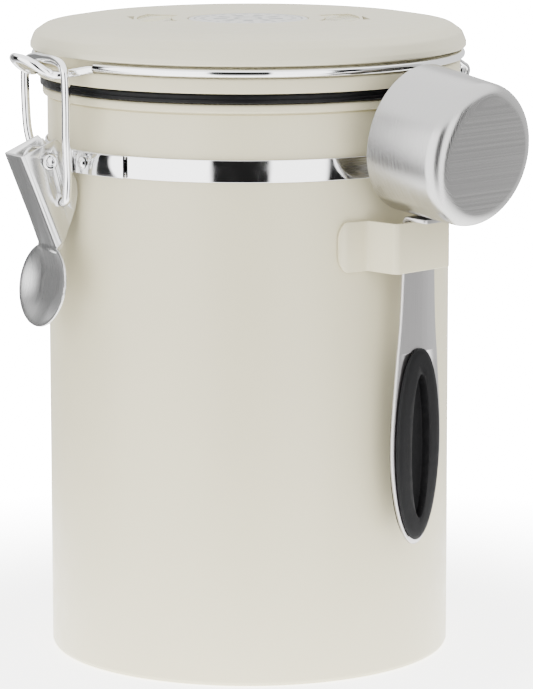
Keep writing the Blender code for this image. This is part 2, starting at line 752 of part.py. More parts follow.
def window_lens(name, azimuth, owner):
    lens = window(f"{name}_lens", azimuth, 0, COVER_UNDERSIDE + 0.1 * MM, COVER_TOP - 0.2 * MM)
    add(f"{name}_lens", lens, owner, "clear_plastic", CLEAR)


# Scoop


def on_scoop(side, up, out):
    return spot(SCOOP_AZIMUTH, side, out, up)


def scoop_holder(owner):
    """A bridge of painted sheet on the canister's side, with a round-ended tab at each side."""
    tab_radius = BODY_RADIUS + 0.35 * MM + HOLDER_SHEET / 2
    middle = (HOLDER_LOW + HOLDER_HIGH) / 2
    half_height = (HOLDER_HIGH - HOLDER_LOW) / 2
    tab = [(20.1, 0.45), (19.5, 0.70), (18.4, 0.92), (17.3, 1.0), (15.8, 1.0), (14.1, 1.0), (12.2, 1.0)]
    half = []
    for azimuth, share in tab:
        angle = math.radians(azimuth)
        place = (tab_radius * math.sin(angle), tab_radius * math.cos(angle))
        half.append((*place, share * half_height))
    corner = 1.3 * MM
    bends = [
        (HOLDER_HALF_WIDTH, tab_radius - 0.3 * MM),
        (HOLDER_HALF_WIDTH - 0.1 * MM, tab_radius + 0.9 * MM),
        (HOLDER_HALF_WIDTH, HOLDER_BRIDGE - corner),
        (HOLDER_HALF_WIDTH - 0.4 * MM, HOLDER_BRIDGE - 0.4 * MM),
        (HOLDER_HALF_WIDTH - corner, HOLDER_BRIDGE),
    ]
    half += [(side, out, half_height) for side, out in bends]
    full = half + [(-side, out, height) for side, out, height in reversed(half)]
    path = [(side, out) for side, out, _ in full]
    edges = [(middle - height, middle + height) for _, _, height in full]
    sheet = bent_sheet("scoop_holder", path, HOLDER_SHEET, edges, placed_at(SCOOP_AZIMUTH))
    add("scoop_holder", sheet, owner, "cream_paint", CREAM)


def scoop_cup(owner):
    """A drawn cup with a rounded bottom edge. Its mouth faces the canister."""
    wall = 0.9 * MM
    middle = (CUP_BOTTOM_RADIUS - CUP_CORNER, CUP_DEPTH - CUP_CORNER)
    rounding = arc(middle, CUP_CORNER, 0, 90, 3)
    hollow = arc(middle, CUP_CORNER - wall, 90, 0, 3)
    profile = [(CUP_RADIUS - wall, 0), (CUP_RADIUS, 0)]
    profile += rounding + [(0, CUP_DEPTH), (0, CUP_DEPTH - wall)] + hollow
    matrix = facing_out(SCOOP_AZIMUTH, 0, *CUP_MOUTH, CUP_TILT)
    add("scoop_cup", turned("scoop_cup", profile, 36, matrix), owner, "brushed_steel", BRUSHED)


def handle_line(up):
    """How far out the middle of the handle's sheet is at a height."""
    return HANDLE_DISTANCE - max(HOLDER_HIGH - up, 0) * HANDLE_LEAN


def under_cup(out):
    """The height of the cup's underside that far out."""
    tilt = math.radians(CUP_TILT)
    taper = math.atan((CUP_RADIUS - CUP_BOTTOM_RADIUS) / (CUP_DEPTH - CUP_CORNER))
    start_out = CUP_MOUTH[0] - CUP_RADIUS * math.sin(tilt)
    start_up = CUP_MOUTH[1] - CUP_RADIUS * math.cos(tilt)
    return start_up - (out - start_out) * math.tan(tilt - taper)


def across_scoop(out, up, side):
    """The same as on_scoop, for a path seen from the side."""
    return on_scoop(side, up, out)


def egg(half_width, half_height, steps):
    """The grip's outline as (side, up) points: an oval that is fuller above than below."""
    points = []
    for k in range(steps):
        angle = 2 * math.pi * k / steps
        fullness = 0.86 if math.sin(angle) > 0 else 1.0
        side = math.copysign(abs(math.cos(angle)) ** fullness, math.cos(angle))
        points.append((half_width * side, GRIP_MIDDLE + half_height * math.sin(angle)))
    return points


def scoop_handle(owner):
    """A strap welded under the cup, with an oval opening for the rubber grip."""
    drop = HANDLE_SHEET / 2 + 0.25 * MM
    tab = [(73.6, 4.2), (72.4, 5.6), (68.4, 6.3)]
    path = [(out * MM, under_cup(out * MM) - drop) for out, _ in tab]
    halves = [half * MM for _, half in tab]
    bend = under_cup(HANDLE_DISTANCE) - drop
    path += [(HANDLE_DISTANCE + 0.7 * MM, bend - 0.25 * MM), (HANDLE_DISTANCE, bend - 1.4 * MM)]
    halves += [6.3 * MM] * 2
    outline = [
        (115.0, 6.3),
        (104.0, 6.8),
        (97.7, 7.3),
        (91.4, 8.0),
        (85.0, 8.6),
        (78.6, 9.2),
        (72.2, 9.65),
        (66.7, 9.8),
        (61.0, 9.55),
        (55.5, 8.8),
        (50.0, 7.6),
        (45.5, 6.1),
        (42.0, 4.5),
        (39.8, 3.0),
        (38.7, 1.7),
        (38.3, 0.7),
    ]
    path += [(handle_line(up * MM), up * MM) for up, _ in outline]
    halves += [half * MM for _, half in outline]
    edges = [(-half, half) for half in halves]
    sheet = bent_sheet("scoop_handle", path, HANDLE_SHEET, edges, across_scoop)
    handle = add("scoop_handle", sheet, owner, "brushed_steel", BRUSHED)
    opening = egg(GRIP_HALF_WIDTH - 1.1 * MM, GRIP_HALF_HEIGHT - 1.2 * MM, 32)
    cut(handle, plate("grip_hole", opening, 60 * MM, 72 * MM, on_scoop))


def scoop_grip(owner):
    """A rubber grommet that fills the handle's opening, with a blind finger slot in front."""
    sheet = HANDLE_SHEET / 2 + GAP
    lip_in = 1.4 * MM
    levels = [
        (-2.2 * MM, 1.2 * MM),
        (-sheet - 0.6 * MM, 0),
        (-sheet, 0),
        (-sheet, lip_in),
        (sheet, lip_in),
        (sheet, 0),
        (sheet + 0.35 * MM, 0.15 * MM),
        (1.7 * MM, 1.5 * MM),
        (1.85 * MM, 2.6 * MM),
    ]
    steps = 32
    bm = bmesh.new()
    rings = []
    for offset, inset in levels:
        outline = egg(GRIP_HALF_WIDTH - inset, GRIP_HALF_HEIGHT - inset, steps)
        ring = [on_scoop(side, up, handle_line(up) + offset) for side, up in outline]
        rings.append([bm.verts.new(point) for point in ring])
    for lower, upper in zip(rings, rings[1:]):
        for k in range(steps):
            after = (k + 1) % steps
            bm.faces.new((lower[k], lower[after], upper[after], upper[k]))
    bm.faces.new(rings[0])
    bm.faces.new(rings[-1])
    grip = add("scoop_grip", closed_mesh("scoop_grip", bm), owner, "black_rubber", RUBBER)
    slot = [(side + 0.4 * MM, up) for side, up in oval(3.6 * MM, 20.4 * MM, 66.3 * MM, 28)]
    floor = handle_line(GRIP_MIDDLE) - 1.0 * MM
    cut(grip, plate("finger_slot", slot, floor, 72 * MM, on_scoop))


def build():
    clear_scene()
    canister = body("canister", (0, 0, 0))
    lid = body("lid", (0, HINGE_Y, HINGE_Z), canister)
    lever = body("lever", spot(0, 0, *LEVER_PIVOT), canister)
    toggle = body("toggle", spot(0, 0, *TOGGLE_PIVOT), lever)
    scoop = body("scoop", spot(SCOOP_AZIMUTH, 0, HANDLE_DISTANCE, HOLDER_HIGH), canister)
    membrane = body("membrane", (0, 0, MEMBRANE_LOW), lid)
    wheels = {
        name: body(f"{name}_dial", spot(azimuth, 0, WHEEL_DISTANCE, WHEEL_BOTTOM), lid)
        for name, azimuth in WINDOW_AZIMUTHS.items()
    }
    bpy.context.view_layer.update()

    canister_shell(canister)
    latch_rivets = [LATCH_RIVET_AZIMUTH, -LATCH_RIVET_AZIMUTH]
    hinge_rivets = [180 - HINGE_RIVET_AZIMUTH, 180 + HINGE_RIVET_AZIMUTH]
    neck_band(canister, latch_rivets + hinge_rivets)
    for side, hand in (("right", 1), ("left", -1)):
        latch_ear(f"latch_ear_{side}", hand, canister)
        rivet(f"ear_rivet_{side}", hand * LATCH_RIVET_AZIMUTH, canister)
        rivet(f"hinge_rivet_{side}", 180 + hand * HINGE_RIVET_AZIMUTH, canister)
        hinge_ear(f"hinge_ear_{side}", hand, lid)
    lever_pin(canister)
    hinge_bracket(canister)
    hinge_pin(canister)
    scoop_holder(canister)

    latch_lever(lever)
    toggle_wire(toggle)

    for make in (lid_cover, lid_core, lid_gasket, lid_ring, lid_liner, catch_loop):
        make(lid)
    for make in (valve_filter, valve_seat, valve_cap):
        make(lid)
    valve_membrane(membrane)
    for name, azimuth in WINDOW_AZIMUTHS.items():
        window_lens(name, azimuth, lid)
        wheel_pivot(name, azimuth, lid)
        date_wheel(name, azimuth, wheels[name])

    for make in (scoop_cup, scoop_handle, scoop_grip):
        make(scoop)


build()
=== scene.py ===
"""Looks of the coffee tin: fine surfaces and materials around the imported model. Metres."""

import math
import bmesh
import bpy
from mathutils import Matrix, Vector


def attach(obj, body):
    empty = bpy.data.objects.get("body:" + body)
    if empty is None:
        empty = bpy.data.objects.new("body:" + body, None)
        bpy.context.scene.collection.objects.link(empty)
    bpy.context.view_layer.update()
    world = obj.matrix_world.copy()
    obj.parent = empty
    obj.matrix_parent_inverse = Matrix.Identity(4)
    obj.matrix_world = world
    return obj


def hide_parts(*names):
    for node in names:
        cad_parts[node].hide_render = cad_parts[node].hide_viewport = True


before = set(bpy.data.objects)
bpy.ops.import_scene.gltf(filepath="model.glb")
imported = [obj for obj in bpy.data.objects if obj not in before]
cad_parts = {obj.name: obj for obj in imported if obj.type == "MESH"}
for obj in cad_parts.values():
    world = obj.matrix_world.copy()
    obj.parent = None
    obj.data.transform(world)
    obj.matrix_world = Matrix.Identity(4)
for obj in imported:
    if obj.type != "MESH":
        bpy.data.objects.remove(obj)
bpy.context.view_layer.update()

MM = 0.001
UP = Vector((0, 0, 1))

# ---------------------------------------------------------------- camera and studio

CAMERA_AZIMUTH = 60
CAMERA_DISTANCE = 1.093
CAMERA_HEIGHT = 0.2772
CAMERA_PITCH = 9.88
CAMERA_YAW = 0.266
CAMERA_ROLL = -0.088
CAMERA_LENS = 200.35


def outward(azimuth):
    """The level direction away from the tin's axis at an azimuth, from the latch round."""
    angle = math.radians(azimuth)
    return Vector((math.sin(angle), -math.cos(angle), 0))


def sideways(azimuth):
    """The level direction to the right, seen from outside at the azimuth."""
    angle = math.radians(azimuth)
    return Vector((math.cos(angle), math.sin(angle), 0))


def spot(azimuth, side, out, up):
    """The point that far sideways, outwards and up, seen from outside at the azimuth."""
    return sideways(azimuth) * side + outward(azimuth) * out + UP * up


def axes(x, y, z, origin):
    """The matrix with these axes and origin."""
    matrix = Matrix((x, y, z)).transposed().to_4x4()
    matrix.translation = origin
    return matrix


def add_camera():
    """A long lens, a little above the lid and between the latch and the scoop."""
    pitch, yaw, roll = (math.radians(v) for v in (CAMERA_PITCH, CAMERA_YAW, CAMERA_ROLL))
    level = sideways(CAMERA_AZIMUTH) * math.sin(yaw) - outward(CAMERA_AZIMUTH) * math.cos(yaw)
    forward = level * math.cos(pitch) - UP * math.sin(pitch)
    right = forward.cross(UP).normalized()
    right = Matrix.Rotation(-roll, 3, forward) @ right
    place = spot(CAMERA_AZIMUTH, 0, CAMERA_DISTANCE, CAMERA_HEIGHT)
    data = bpy.data.cameras.new("camera")
    data.lens = CAMERA_LENS
    data.clip_start = 0.01
    camera = bpy.data.objects.new("camera", data)
    camera.matrix_world = axes(right, right.cross(forward), -forward, place)
    bpy.context.collection.objects.link(camera)
    bpy.context.scene.camera = camera


class Nodes:
    """Short forms for building one node tree."""

    def __init__(self, tree):
        self.tree = tree

    def new(self, kind, **settings):
        node = self.tree.nodes.new(kind)
        for key, value in settings.items():
            setattr(node, key, value)
        return node

    def link(self, source, target):
        self.tree.links.new(source, target)

    def math(self, operation, a, b=None, c=None):
        node = self.new("ShaderNodeMath", operation=operation)
        for socket, value in zip(node.inputs, (a, b, c)):
            if value is None:
                continue
            if isinstance(value, (int, float)):
                socket.default_value = value
            else:
                self.link(value, socket)
        return node.outputs[0]

    def ramp(self, value, low, high, start=0.0, end=1.0):
        node = self.new("ShaderNodeMapRange", interpolation_type="SMOOTHSTEP")
        self.link(value, node.inputs["Value"])
        for name, number in (("From Min", low), ("From Max", high), ("To Min", start), ("To Max", end)):
            node.inputs[name].default_value = number
        return node.outputs["Result"]


# Softboxes that the polished steel reflects: (azimuth from, azimuth to, brightness), seen from
# the camera's azimuth, clockwise from above being positive. Between them the studio is dark.
REFLECTED_BOXES = (
    (-82, -21, 5.0),
    (12, 45, 4.6),
    (62, 104, 0.8),
    (104, 228, 1.4),
    (228, 262, 0.3),
)
BOX_EDGE = 1.5
DARK_LEVEL = 0.02
OVERHEAD = 3.0
BELOW = 0.7
BACKDROP = 22.0
FILL = 1.7
FILL_SHARE = 0.5
FLOOR_GLOW = 3.6
FLOOR_FADE = (0.075, 0.30)


def add_world():
    """A white backdrop. Reflections see two tall softboxes with a dark studio between them."""
    world = bpy.data.worlds.new("studio")
    bpy.context.scene.world = world
    world.use_nodes = True
    tree = world.node_tree
    tree.nodes.clear()
    n = Nodes(tree)
    direction = n.new("ShaderNodeTexCoord").outputs["Generated"]
    split = n.new("ShaderNodeSeparateXYZ")
    n.link(direction, split.inputs[0])
    x, y, z = split.outputs
    turn = n.math("ARCTAN2", x, n.math("MULTIPLY", y, -1.0))
    degrees = n.math("MULTIPLY", turn, 180 / math.pi)
    from_camera = n.math("SUBTRACT", degrees, float(CAMERA_AZIMUTH))
    wrapped = n.math("WRAP", from_camera, 280.0, -90.0)
    level = None
    for low, high, brightness in REFLECTED_BOXES:
        rise = n.ramp(wrapped, low - BOX_EDGE, low + BOX_EDGE)
        fall = n.ramp(wrapped, high - BOX_EDGE, high + BOX_EDGE, 1.0, 0.0)
        box = n.math("MULTIPLY", n.math("MULTIPLY", rise, fall), brightness)
        level = box if level is None else n.math("ADD", level, box)
    sideband = n.math("ADD", level, DARK_LEVEL)
    overhead = n.ramp(z, 0.42, 0.62)
    lit = n.math("ADD", sideband, n.math("MULTIPLY", n.math("SUBTRACT", OVERHEAD, sideband), overhead))
    studio = n.math("MAXIMUM", lit, n.ramp(z, -0.55, -0.30, BELOW, 0.0))
    path = n.new("ShaderNodeLightPath")
    glossy = path.outputs["Is Glossy Ray"]
    share = n.math("MAXIMUM", glossy, FILL_SHARE)
    mixed = n.math("ADD", FILL, n.math("MULTIPLY", share, n.math("SUBTRACT", studio, FILL)))
    seen = path.outputs["Is Camera Ray"]
    final = n.math("ADD", mixed, n.math("MULTIPLY", seen, n.math("SUBTRACT", BACKDROP, mixed)))
    background = n.new("ShaderNodeBackground")
    background.inputs["Color"].default_value = (1, 1, 1, 1)
    n.link(final, background.inputs["Strength"])
    n.link(background.outputs[0], n.new("ShaderNodeOutputWorld").inputs["Surface"])


# ---------------------------------------------------------------- materials


def principled(name, colour, roughness, metallic=0.0):
    """A material whose colour and roughness vary a little over the surface."""
    material = bpy.data.materials.new(name)
    material.use_nodes = True
    n = Nodes(material.node_tree)
    shader = material.node_tree.nodes["Principled BSDF"]
    shader.inputs["Metallic"].default_value = metallic
    shader.inputs["Roughness"].default_value = roughness
    shader.inputs["Base Color"].default_value = (*colour, 1)
    return material, n, shader


def noise(n, scale, detail=3.0, stretch=(1, 1, 1)):
    """Noise fixed to the piece, with that many cells per metre."""
    place = n.new("ShaderNodeTexCoord").outputs["Object"]
    mapping = n.new("ShaderNodeMapping")
    mapping.inputs["Scale"].default_value = stretch
    n.link(place, mapping.inputs["Vector"])
    texture = n.new("ShaderNodeTexNoise")
    texture.inputs["Scale"].default_value = scale
    texture.inputs["Detail"].default_value = detail
    n.link(mapping.outputs[0], texture.inputs["Vector"])
    return texture.outputs["Fac"]


def vary_colour(n, shader, fac, dark, light):
    """Mixes the base colour between two colours."""
    mix = n.new("ShaderNodeMix", data_type="RGBA")
    n.link(fac, mix.inputs["Factor"])
    mix.inputs["A"].default_value = (*dark, 1)
    mix.inputs["B"].default_value = (*light, 1)
    n.link(mix.outputs["Result"], shader.inputs["Base Color"])


def vary_roughness(n, shader, fac, low, high):
    """Varies the roughness between two levels."""
    n.link(n.ramp(fac, 0.3, 0.7, low, high), shader.inputs["Roughness"])


def bump(n, shader, height, strength, distance):
    """Lets a height texture bend the surface's normal."""
    node = n.new("ShaderNodeBump")
    node.inputs["Strength"].default_value = strength
    node.inputs["Distance"].default_value = distance
    n.link(height, node.inputs["Height"])
    n.link(node.outputs["Normal"], shader.inputs["Normal"])


def cream(name, colour, roughness, grain):
    """Satin paint or plastic: faint mottling, uneven gloss and a fine orange-peel bump."""
    material, n, shader = principled(name, colour, roughness)
    dark, light = tuple(c * 0.975 for c in colour), tuple(min(c * 1.02, 1) for c in colour)
    vary_colour(n, shader, noise(n, 35), dark, light)
    vary_roughness(n, shader, noise(n, 220), roughness - 0.05, roughness + 0.06)
    bump(n, shader, noise(n, grain, 4), 0.12, 0.00005)
    return material


def polished(name, tint=(0.86, 0.86, 0.865), roughness=0.06):
    """Mirror-polished steel with faint smears and a trace of polishing marks."""
    material, n, shader = principled(name, tint, roughness, 1.0)
    vary_roughness(n, shader, noise(n, 180, 5), roughness - 0.02, roughness + 0.05)
    vary_colour(n, shader, noise(n, 60), tuple(c * 0.95 for c in tint), tint)
    bump(n, shader, noise(n, 160, 2), 0.05, 0.0002)
    return material


def brushed(name, axis, tint=(0.42, 0.415, 0.41), roughness=0.24):
    """Brushed steel, with fine lines that run across the given axis."""
    material, n, shader = principled(name, tint, roughness, 1.0)
    place = n.new("ShaderNodeTexCoord").outputs["Object"]
    dot = n.new("ShaderNodeVectorMath", operation="DOT_PRODUCT")
    n.link(place, dot.inputs[0])
    dot.inputs[1].default_value = axis
    combined = n.new("ShaderNodeCombineXYZ")
    n.link(n.math("MULTIPLY", dot.outputs["Value"], 9000.0), combined.inputs["X"])
    n.link(n.math("MULTIPLY", noise(n, 90), 0.1), combined.inputs["Y"])
    lines = n.new("ShaderNodeTexNoise")
    lines.inputs["Scale"].default_value = 1.0
    lines.inputs["Detail"].default_value = 4.0
    n.link(combined.outputs[0], lines.inputs["Vector"])
    streaks = lines.outputs["Fac"]
    vary_colour(n, shader, streaks, tuple(c * 0.86 for c in tint), tuple(c * 1.12 for c in tint))
    vary_roughness(n, shader, streaks, roughness - 0.07, roughness + 0.08)
    bump(n, shader, streaks, 0.12, 0.00003)
    return material


def rubber(name, colour, roughness, grain=1800):
    """Dull rubber with a fine grain."""
    material, n, shader = principled(name, colour, roughness)
    shader.inputs["Specular IOR Level"].default_value = 0.12
    vary_colour(n, shader, noise(n, 120), tuple(c * 0.8 for c in colour), tuple(c * 1.25 for c in colour))
    vary_roughness(n, shader, noise(n, 400), roughness - 0.08, roughness + 0.08)
    bump(n, shader, noise(n, grain, 5), 0.35, 0.00005)
    return material


def felt(name):
    """Pressed felt with short fibres."""
    material, n, shader = principled(name, (0.75, 0.74, 0.70), 0.95)
    shader.inputs["Sheen Weight"].default_value = 0.4
    vary_colour(n, shader, noise(n, 900, 6), (0.62, 0.61, 0.57), (0.80, 0.79, 0.75))
    bump(n, shader, noise(n, 2500, 6, (1, 1, 0.3)), 0.6, 0.0002)
    return material


def lens_plastic(name):
    """Tinted plastic that lets a little light through."""
    material, n, shader = principled(name, (0.84, 0.79, 0.50), 0.2)
    shader.inputs["Transmission Weight"].default_value = 0.2
    shader.inputs["IOR"].default_value = 1.45
    vary_roughness(n, shader, noise(n, 300), 0.10, 0.20)
    return material


def printed_cap(name, colour, ink):
    """Cream plastic with a ring of grey printed strokes round its edge and a plain bean shape."""
    material, n, shader = principled(name, colour, 0.4)
    place = n.new("ShaderNodeTexCoord").outputs["Object"]
    split = n.new("ShaderNodeSeparateXYZ")
    n.link(place, split.inputs[0])
    x, y, _ = split.outputs
    radius = n.math("SQRT", n.math("ADD", n.math("MULTIPLY", x, x), n.math("MULTIPLY", y, y)))
    angle = n.math("ARCTAN2", y, x)

    def band(low, high):
        soft = 0.00012
        inside = n.ramp(radius, low - soft, low + soft)
        return n.math("MULTIPLY", inside, n.ramp(radius, high - soft, high + soft, 1.0, 0.0))

    ticks = n.ramp(n.math("SINE", n.math("MULTIPLY", angle, 24.0)), 0.1, 0.35)
    petals = n.ramp(n.math("SINE", n.math("MULTIPLY", angle, 9.0)), -0.2, 0.3)
    strokes = n.math("MULTIPLY", band(0.0124, 0.0138), ticks)
    strokes = n.math("ADD", strokes, band(0.0152, 0.0156))
    strokes = n.math("ADD", strokes, n.math("MULTIPLY", band(0.0060, 0.0100), petals))
    strokes = n.math("ADD", strokes, band(0.0030, 0.0042))
    worn = n.math("MULTIPLY", strokes, n.ramp(noise(n, 700), 0.2, 0.5, 0.75, 1.0))
    vary_colour(n, shader, n.math("MINIMUM", worn, 1.0), colour, ink)
    bump(n, shader, noise(n, 1500, 4), 0.1, 0.00005)
    return material


CREAM = (0.650, 0.600, 0.415)
M = {}


def make_materials():
    """Fills M with every material."""
    M["paint"] = cream("cream_paint", CREAM, 0.36, 1500)
    M["plastic"] = cream("cream_plastic", (0.665, 0.630, 0.475), 0.42, 2200)
    M["core"] = cream("cream_core", (0.64, 0.59, 0.41), 0.45, 2200)
    M["wheel"] = cream("wheel_plastic", (0.80, 0.77, 0.62), 0.45, 2200)
    M["ink"] = rubber("dial_ink", (0.09, 0.09, 0.085), 0.6)
    M["lens"] = lens_plastic("window_plastic")
    M["cap"] = printed_cap("printed_cap", (0.655, 0.650, 0.615), (0.30, 0.31, 0.31))
    M["polished"] = polished("polished_steel")
    M["liner"] = polished("satin_liner", (0.7, 0.7, 0.7), 0.22)
    cup_axis = tuple(outward(SCOOP_AZIMUTH))
    M["cup"] = brushed("brushed_cup", cup_axis)
    M["handle"] = brushed("brushed_handle", tuple(sideways(SCOOP_AZIMUTH)), (0.50, 0.49, 0.49), 0.33)
    M["tab"] = brushed("satin_lever", tuple(sideways(0)), (0.66, 0.66, 0.66), 0.27)
    M["rubber"] = rubber("black_rubber", (0.007, 0.007, 0.0075), 0.5)
    M["gasket"] = rubber("gasket_rubber", (0.004, 0.004, 0.0045), 0.4)
    M["felt"] = felt("felt")


def add_floor():
    """A pale floor under the tin that fades into the white backdrop."""
    bpy.ops.mesh.primitive_plane_add(size=1, location=(0, 0, -0.0002))
    floor = bpy.context.object
    floor.name = "studio_floor"
    material, n, shader = principled("studio_floor", (0.92, 0.92, 0.92), 0.9)
    shader.inputs["Emission Color"].default_value = (1, 1, 1, 1)
    shader.inputs["Emission Strength"].default_value = FLOOR_GLOW
    reach = n.new("ShaderNodeVectorMath", operation="LENGTH")
    n.link(n.new("ShaderNodeTexCoord").outputs["Object"], reach.inputs[0])
    n.link(n.ramp(reach.outputs["Value"], *FLOOR_FADE, 1.0, 0.0), shader.inputs["Alpha"])
    floor.data.materials.append(material)


# ---------------------------------------------------------------- shapes


def rounded(corners, steps=5):
    """A closed outline of (a, b, radius) corners, each turned into an arc of that radius."""
    result = []
    count = len(corners)
    for k, (a, b, radius) in enumerate(corners):
        here = Vector((a, b))
        if radius <= 0:
            result.append((a, b))
            continue
        before = Vector(corners[k - 1][:2]) - here
        after = Vector(corners[(k + 1) % count][:2]) - here
        half = before.angle(after) / 2
        reach = min(radius / math.tan(half), 0.49 * min(before.length, after.length))
        radius = reach * math.tan(half)
        start = here + before.normalized() * reach
        end = here + after.normalized() * reach
        bisector = (before.normalized() + after.normalized()).normalized()
        centre = here + bisector * radius / math.sin(half)
        one, other = start - centre, end - centre
        sweep = one.angle_signed(other)
        for j in range(steps + 1):
            spoke = Matrix.Rotation(-sweep * j / steps, 2) @ one
            result.append(tuple(centre + spoke))
    return result


def finished(name, bm, sharp=35):
    """The mesh of a bmesh, smooth but for its sharp edges."""
    bmesh.ops.recalc_face_normals(bm, faces=bm.faces)
    mesh = bpy.data.meshes.new(name)
    bm.to_mesh(mesh)
    bm.free()
    mesh.shade_smooth()
    mesh.set_sharp_from_angle(angle=math.radians(sharp))
    return mesh


def turned(name, profile, segments=192, matrix=None, sharp=35):
    """A closed profile of (radius, height) points, turned about local Z."""
    bm = bmesh.new()
    rings = []
    for radius, height in profile:
        count = segments if radius > 0 else 1
        steps = [2 * math.pi * k / count for k in range(count)]
        rings.append(
            [bm.verts.new((radius * math.cos(a), radius * math.sin(a), height)) for a in steps]
        )
    for lower, upper in zip(rings, rings[1:] + rings[:1]):
        if len(lower) == len(upper) == 1:
            continue
        for k in range(segments):
            after = (k + 1) % segments
            corners = [lower[k % len(lower)], lower[after % len(lower)]]
            corners += [upper[after % len(upper)], upper[k % len(upper)]]
            bm.faces.new(dict.fromkeys(corners))
    bm.transform(matrix or Matrix.Identity(4))
    return finished(name, bm, sharp)


def plate(name, outline, low, high, place, sharp=35):
    """A flat outline of (a, b) points with two flat faces, put in place by place(a, b, level)."""
    bm = bmesh.new()
    bottom = [bm.verts.new(place(a, b, low)) for a, b in outline]
    top = [bm.verts.new(place(a, b, high)) for a, b in outline]
    bm.faces.new(bottom)
    bm.faces.new(top)
    for k in range(len(outline)):
        after = (k + 1) % len(outline)
        bm.faces.new((bottom[k], bottom[after], top[after], top[k]))
    return finished(name, bm, sharp)


def mitres(path):
    """The sideways vector at each point of a flat path, longer where it bends."""
    points = [Vector(p) for p in path]
    result = []
    for k, point in enumerate(points):
        before = (point - points[k - 1]).normalized() if k else None
        after = (points[k + 1] - point).normalized() if k + 1 < len(points) else None
        before, after = before or after, after or before
        along = (before + after).normalized()
        result.append(Vector((-along.y, along.x)) / max(along.dot(after), 0.3))
    return result


def bent_sheet(name, path, thickness, edges, place, round_off=0.25):
    """Sheet that follows a flat path, with its long edges rounded off by that share of it."""
    bm = bmesh.new()
    soft = thickness * round_off
    stations = []
    for point, across, (low, high) in zip(path, mitres(path), edges):
        corners = []
        for sign, level, inwards in ((1, low, 1), (1, high, -1), (-1, high, -1), (-1, low, 1)):
            face = Vector(point) + across * sign * thickness / 2
            rim = Vector(point) + across * sign * (thickness / 2 - soft)
            pair = [(*face, level + inwards * soft), (*rim, level)]
            middle = (*(face.lerp(rim, 0.3)), level + inwards * soft * 0.3)
            pair.insert(1, middle)
            corners += pair if (sign, inwards) in ((1, -1), (-1, 1)) else pair[::-1]
        stations.append([bm.verts.new(place(*corner)) for corner in corners])
    for here, there in zip(stations, stations[1:]):
        for k in range(len(here)):
            after = (k + 1) % len(here)
            bm.faces.new((here[k], here[after], there[after], there[k]))
    bm.faces.new(stations[0])
    bm.faces.new(stations[-1])
    return finished(name, bm, 50)


def smooth_path(points, steps):
    """Points along a smooth curve through the given ones."""
    points = [Vector(p) for p in points]
    padded = [2 * points[0] - points[1], *points, 2 * points[-1] - points[-2]]
    result = []
    for a, b, c, d in zip(padded, padded[1:], padded[2:], padded[3:]):
        for k in range(steps):
            t = k / steps
            result.append(
                b
                + (c - a) * t / 2
                + (2 * a - 5 * b + 4 * c - d) * t**2 / 2
                + (3 * b - a - 3 * c + d) * t**3 / 2
            )
    return result + [points[-1]]


def arc(centre, radius, start, end, steps):
    """Points along an arc, with its angles in degrees."""
    angles = [math.radians(start + (end - start) * k / steps) for k in range(steps + 1)]
    return [(centre[0] + radius * math.cos(a), centre[1] + radius * math.sin(a)) for a in angles]


def tube(name, path, radius, sides=24):
    """Round wire along an open path."""
    points = [Vector(p) for p in path]
    spokes = [2 * math.pi * j / sides for j in range(sides)]
    bm = bmesh.new()
    loops = []
    across = (points[1] - points[0]).orthogonal().normalized()
    last = len(points) - 1
    for k, point in enumerate(points):
        along = (points[min(k + 1, last)] - points[max(k - 1, 0)]).normalized()
        across = (across - along * across.dot(along)).normalized()
        other = along.cross(across) * radius
        loops.append(
            [bm.verts.new(point + across * radius * math.cos(a) + other * math.sin(a)) for a in spokes]
        )
    for here, there in zip(loops, loops[1:]):
        for j in range(sides):
            after = (j + 1) % sides
            bm.faces.new((here[j], here[after], there[after], there[j]))
    bm.faces.new(loops[0])
    bm.faces.new(loops[-1])
    return finished(name, bm, 60)


def facing_out(azimuth, side, out, up, tilt=0):
    """Local Z points outwards there, tipped down by tilt degrees, and local X sideways."""
    x = sideways(azimuth)
    z = Matrix.Rotation(math.radians(tilt), 3, x) @ outward(azimuth)
    return axes(x, z.cross(x), z, spot(azimuth, side, out, up))


def facing_sideways(azimuth, side, out, up):
    """Local Z points sideways there, and local X up."""
    return axes(UP, outward(azimuth), sideways(azimuth), spot(azimuth, side, out, up))


def oval(half_width, half_height, middle, steps):
    """Points round an upright oval."""
    angles = [2 * math.pi * k / steps for k in range(steps)]
    return [(half_width * math.cos(a), middle + half_height * math.sin(a)) for a in angles]


# ---------------------------------------------------------------- pieces


def piece(node, mesh, material, body):
    """A shown piece that rides on a body and stands for the CAD node of that name."""
    item = bpy.data.objects.new(f"{node}_fine", mesh)
    bpy.context.collection.objects.link(item)
    item.data.materials.clear()
    item.data.materials.append(material)
    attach(item, body)
    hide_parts(node)
    return item


def with_shapes(item, *steps):
    """Cuts shapes from a piece, or joins them to it: (mesh, "DIFFERENCE" or "UNION") each."""
    for mesh, operation in steps:
        tool = bpy.data.objects.new("tool", mesh)
        bpy.context.collection.objects.link(tool)
        boolean = item.modifiers.new("shape", "BOOLEAN")
        boolean.object = tool
        boolean.operation = operation
        settle(item)
        bpy.data.objects.remove(tool)


def settle(item):
    """Applies a piece's modifiers to its mesh."""
    bpy.context.view_layer.update()
    graph = bpy.context.evaluated_depsgraph_get()
    mesh = bpy.data.meshes.new_from_object(item.evaluated_get(graph))
    item.modifiers.clear()
    item.data = mesh


def soften(item, width, segments=2, angle=35):
    """Rounds a piece's sharp edges."""
    bevel = item.modifiers.new("soften", "BEVEL")
    bevel.width = width
    bevel.segments = segments
    bevel.limit_method = "ANGLE"
    bevel.angle_limit = math.radians(angle)
    bevel.harden_normals = True
    settle(item)
    item.data.shade_smooth()
    item.data.set_sharp_from_angle(angle=math.radians(50))


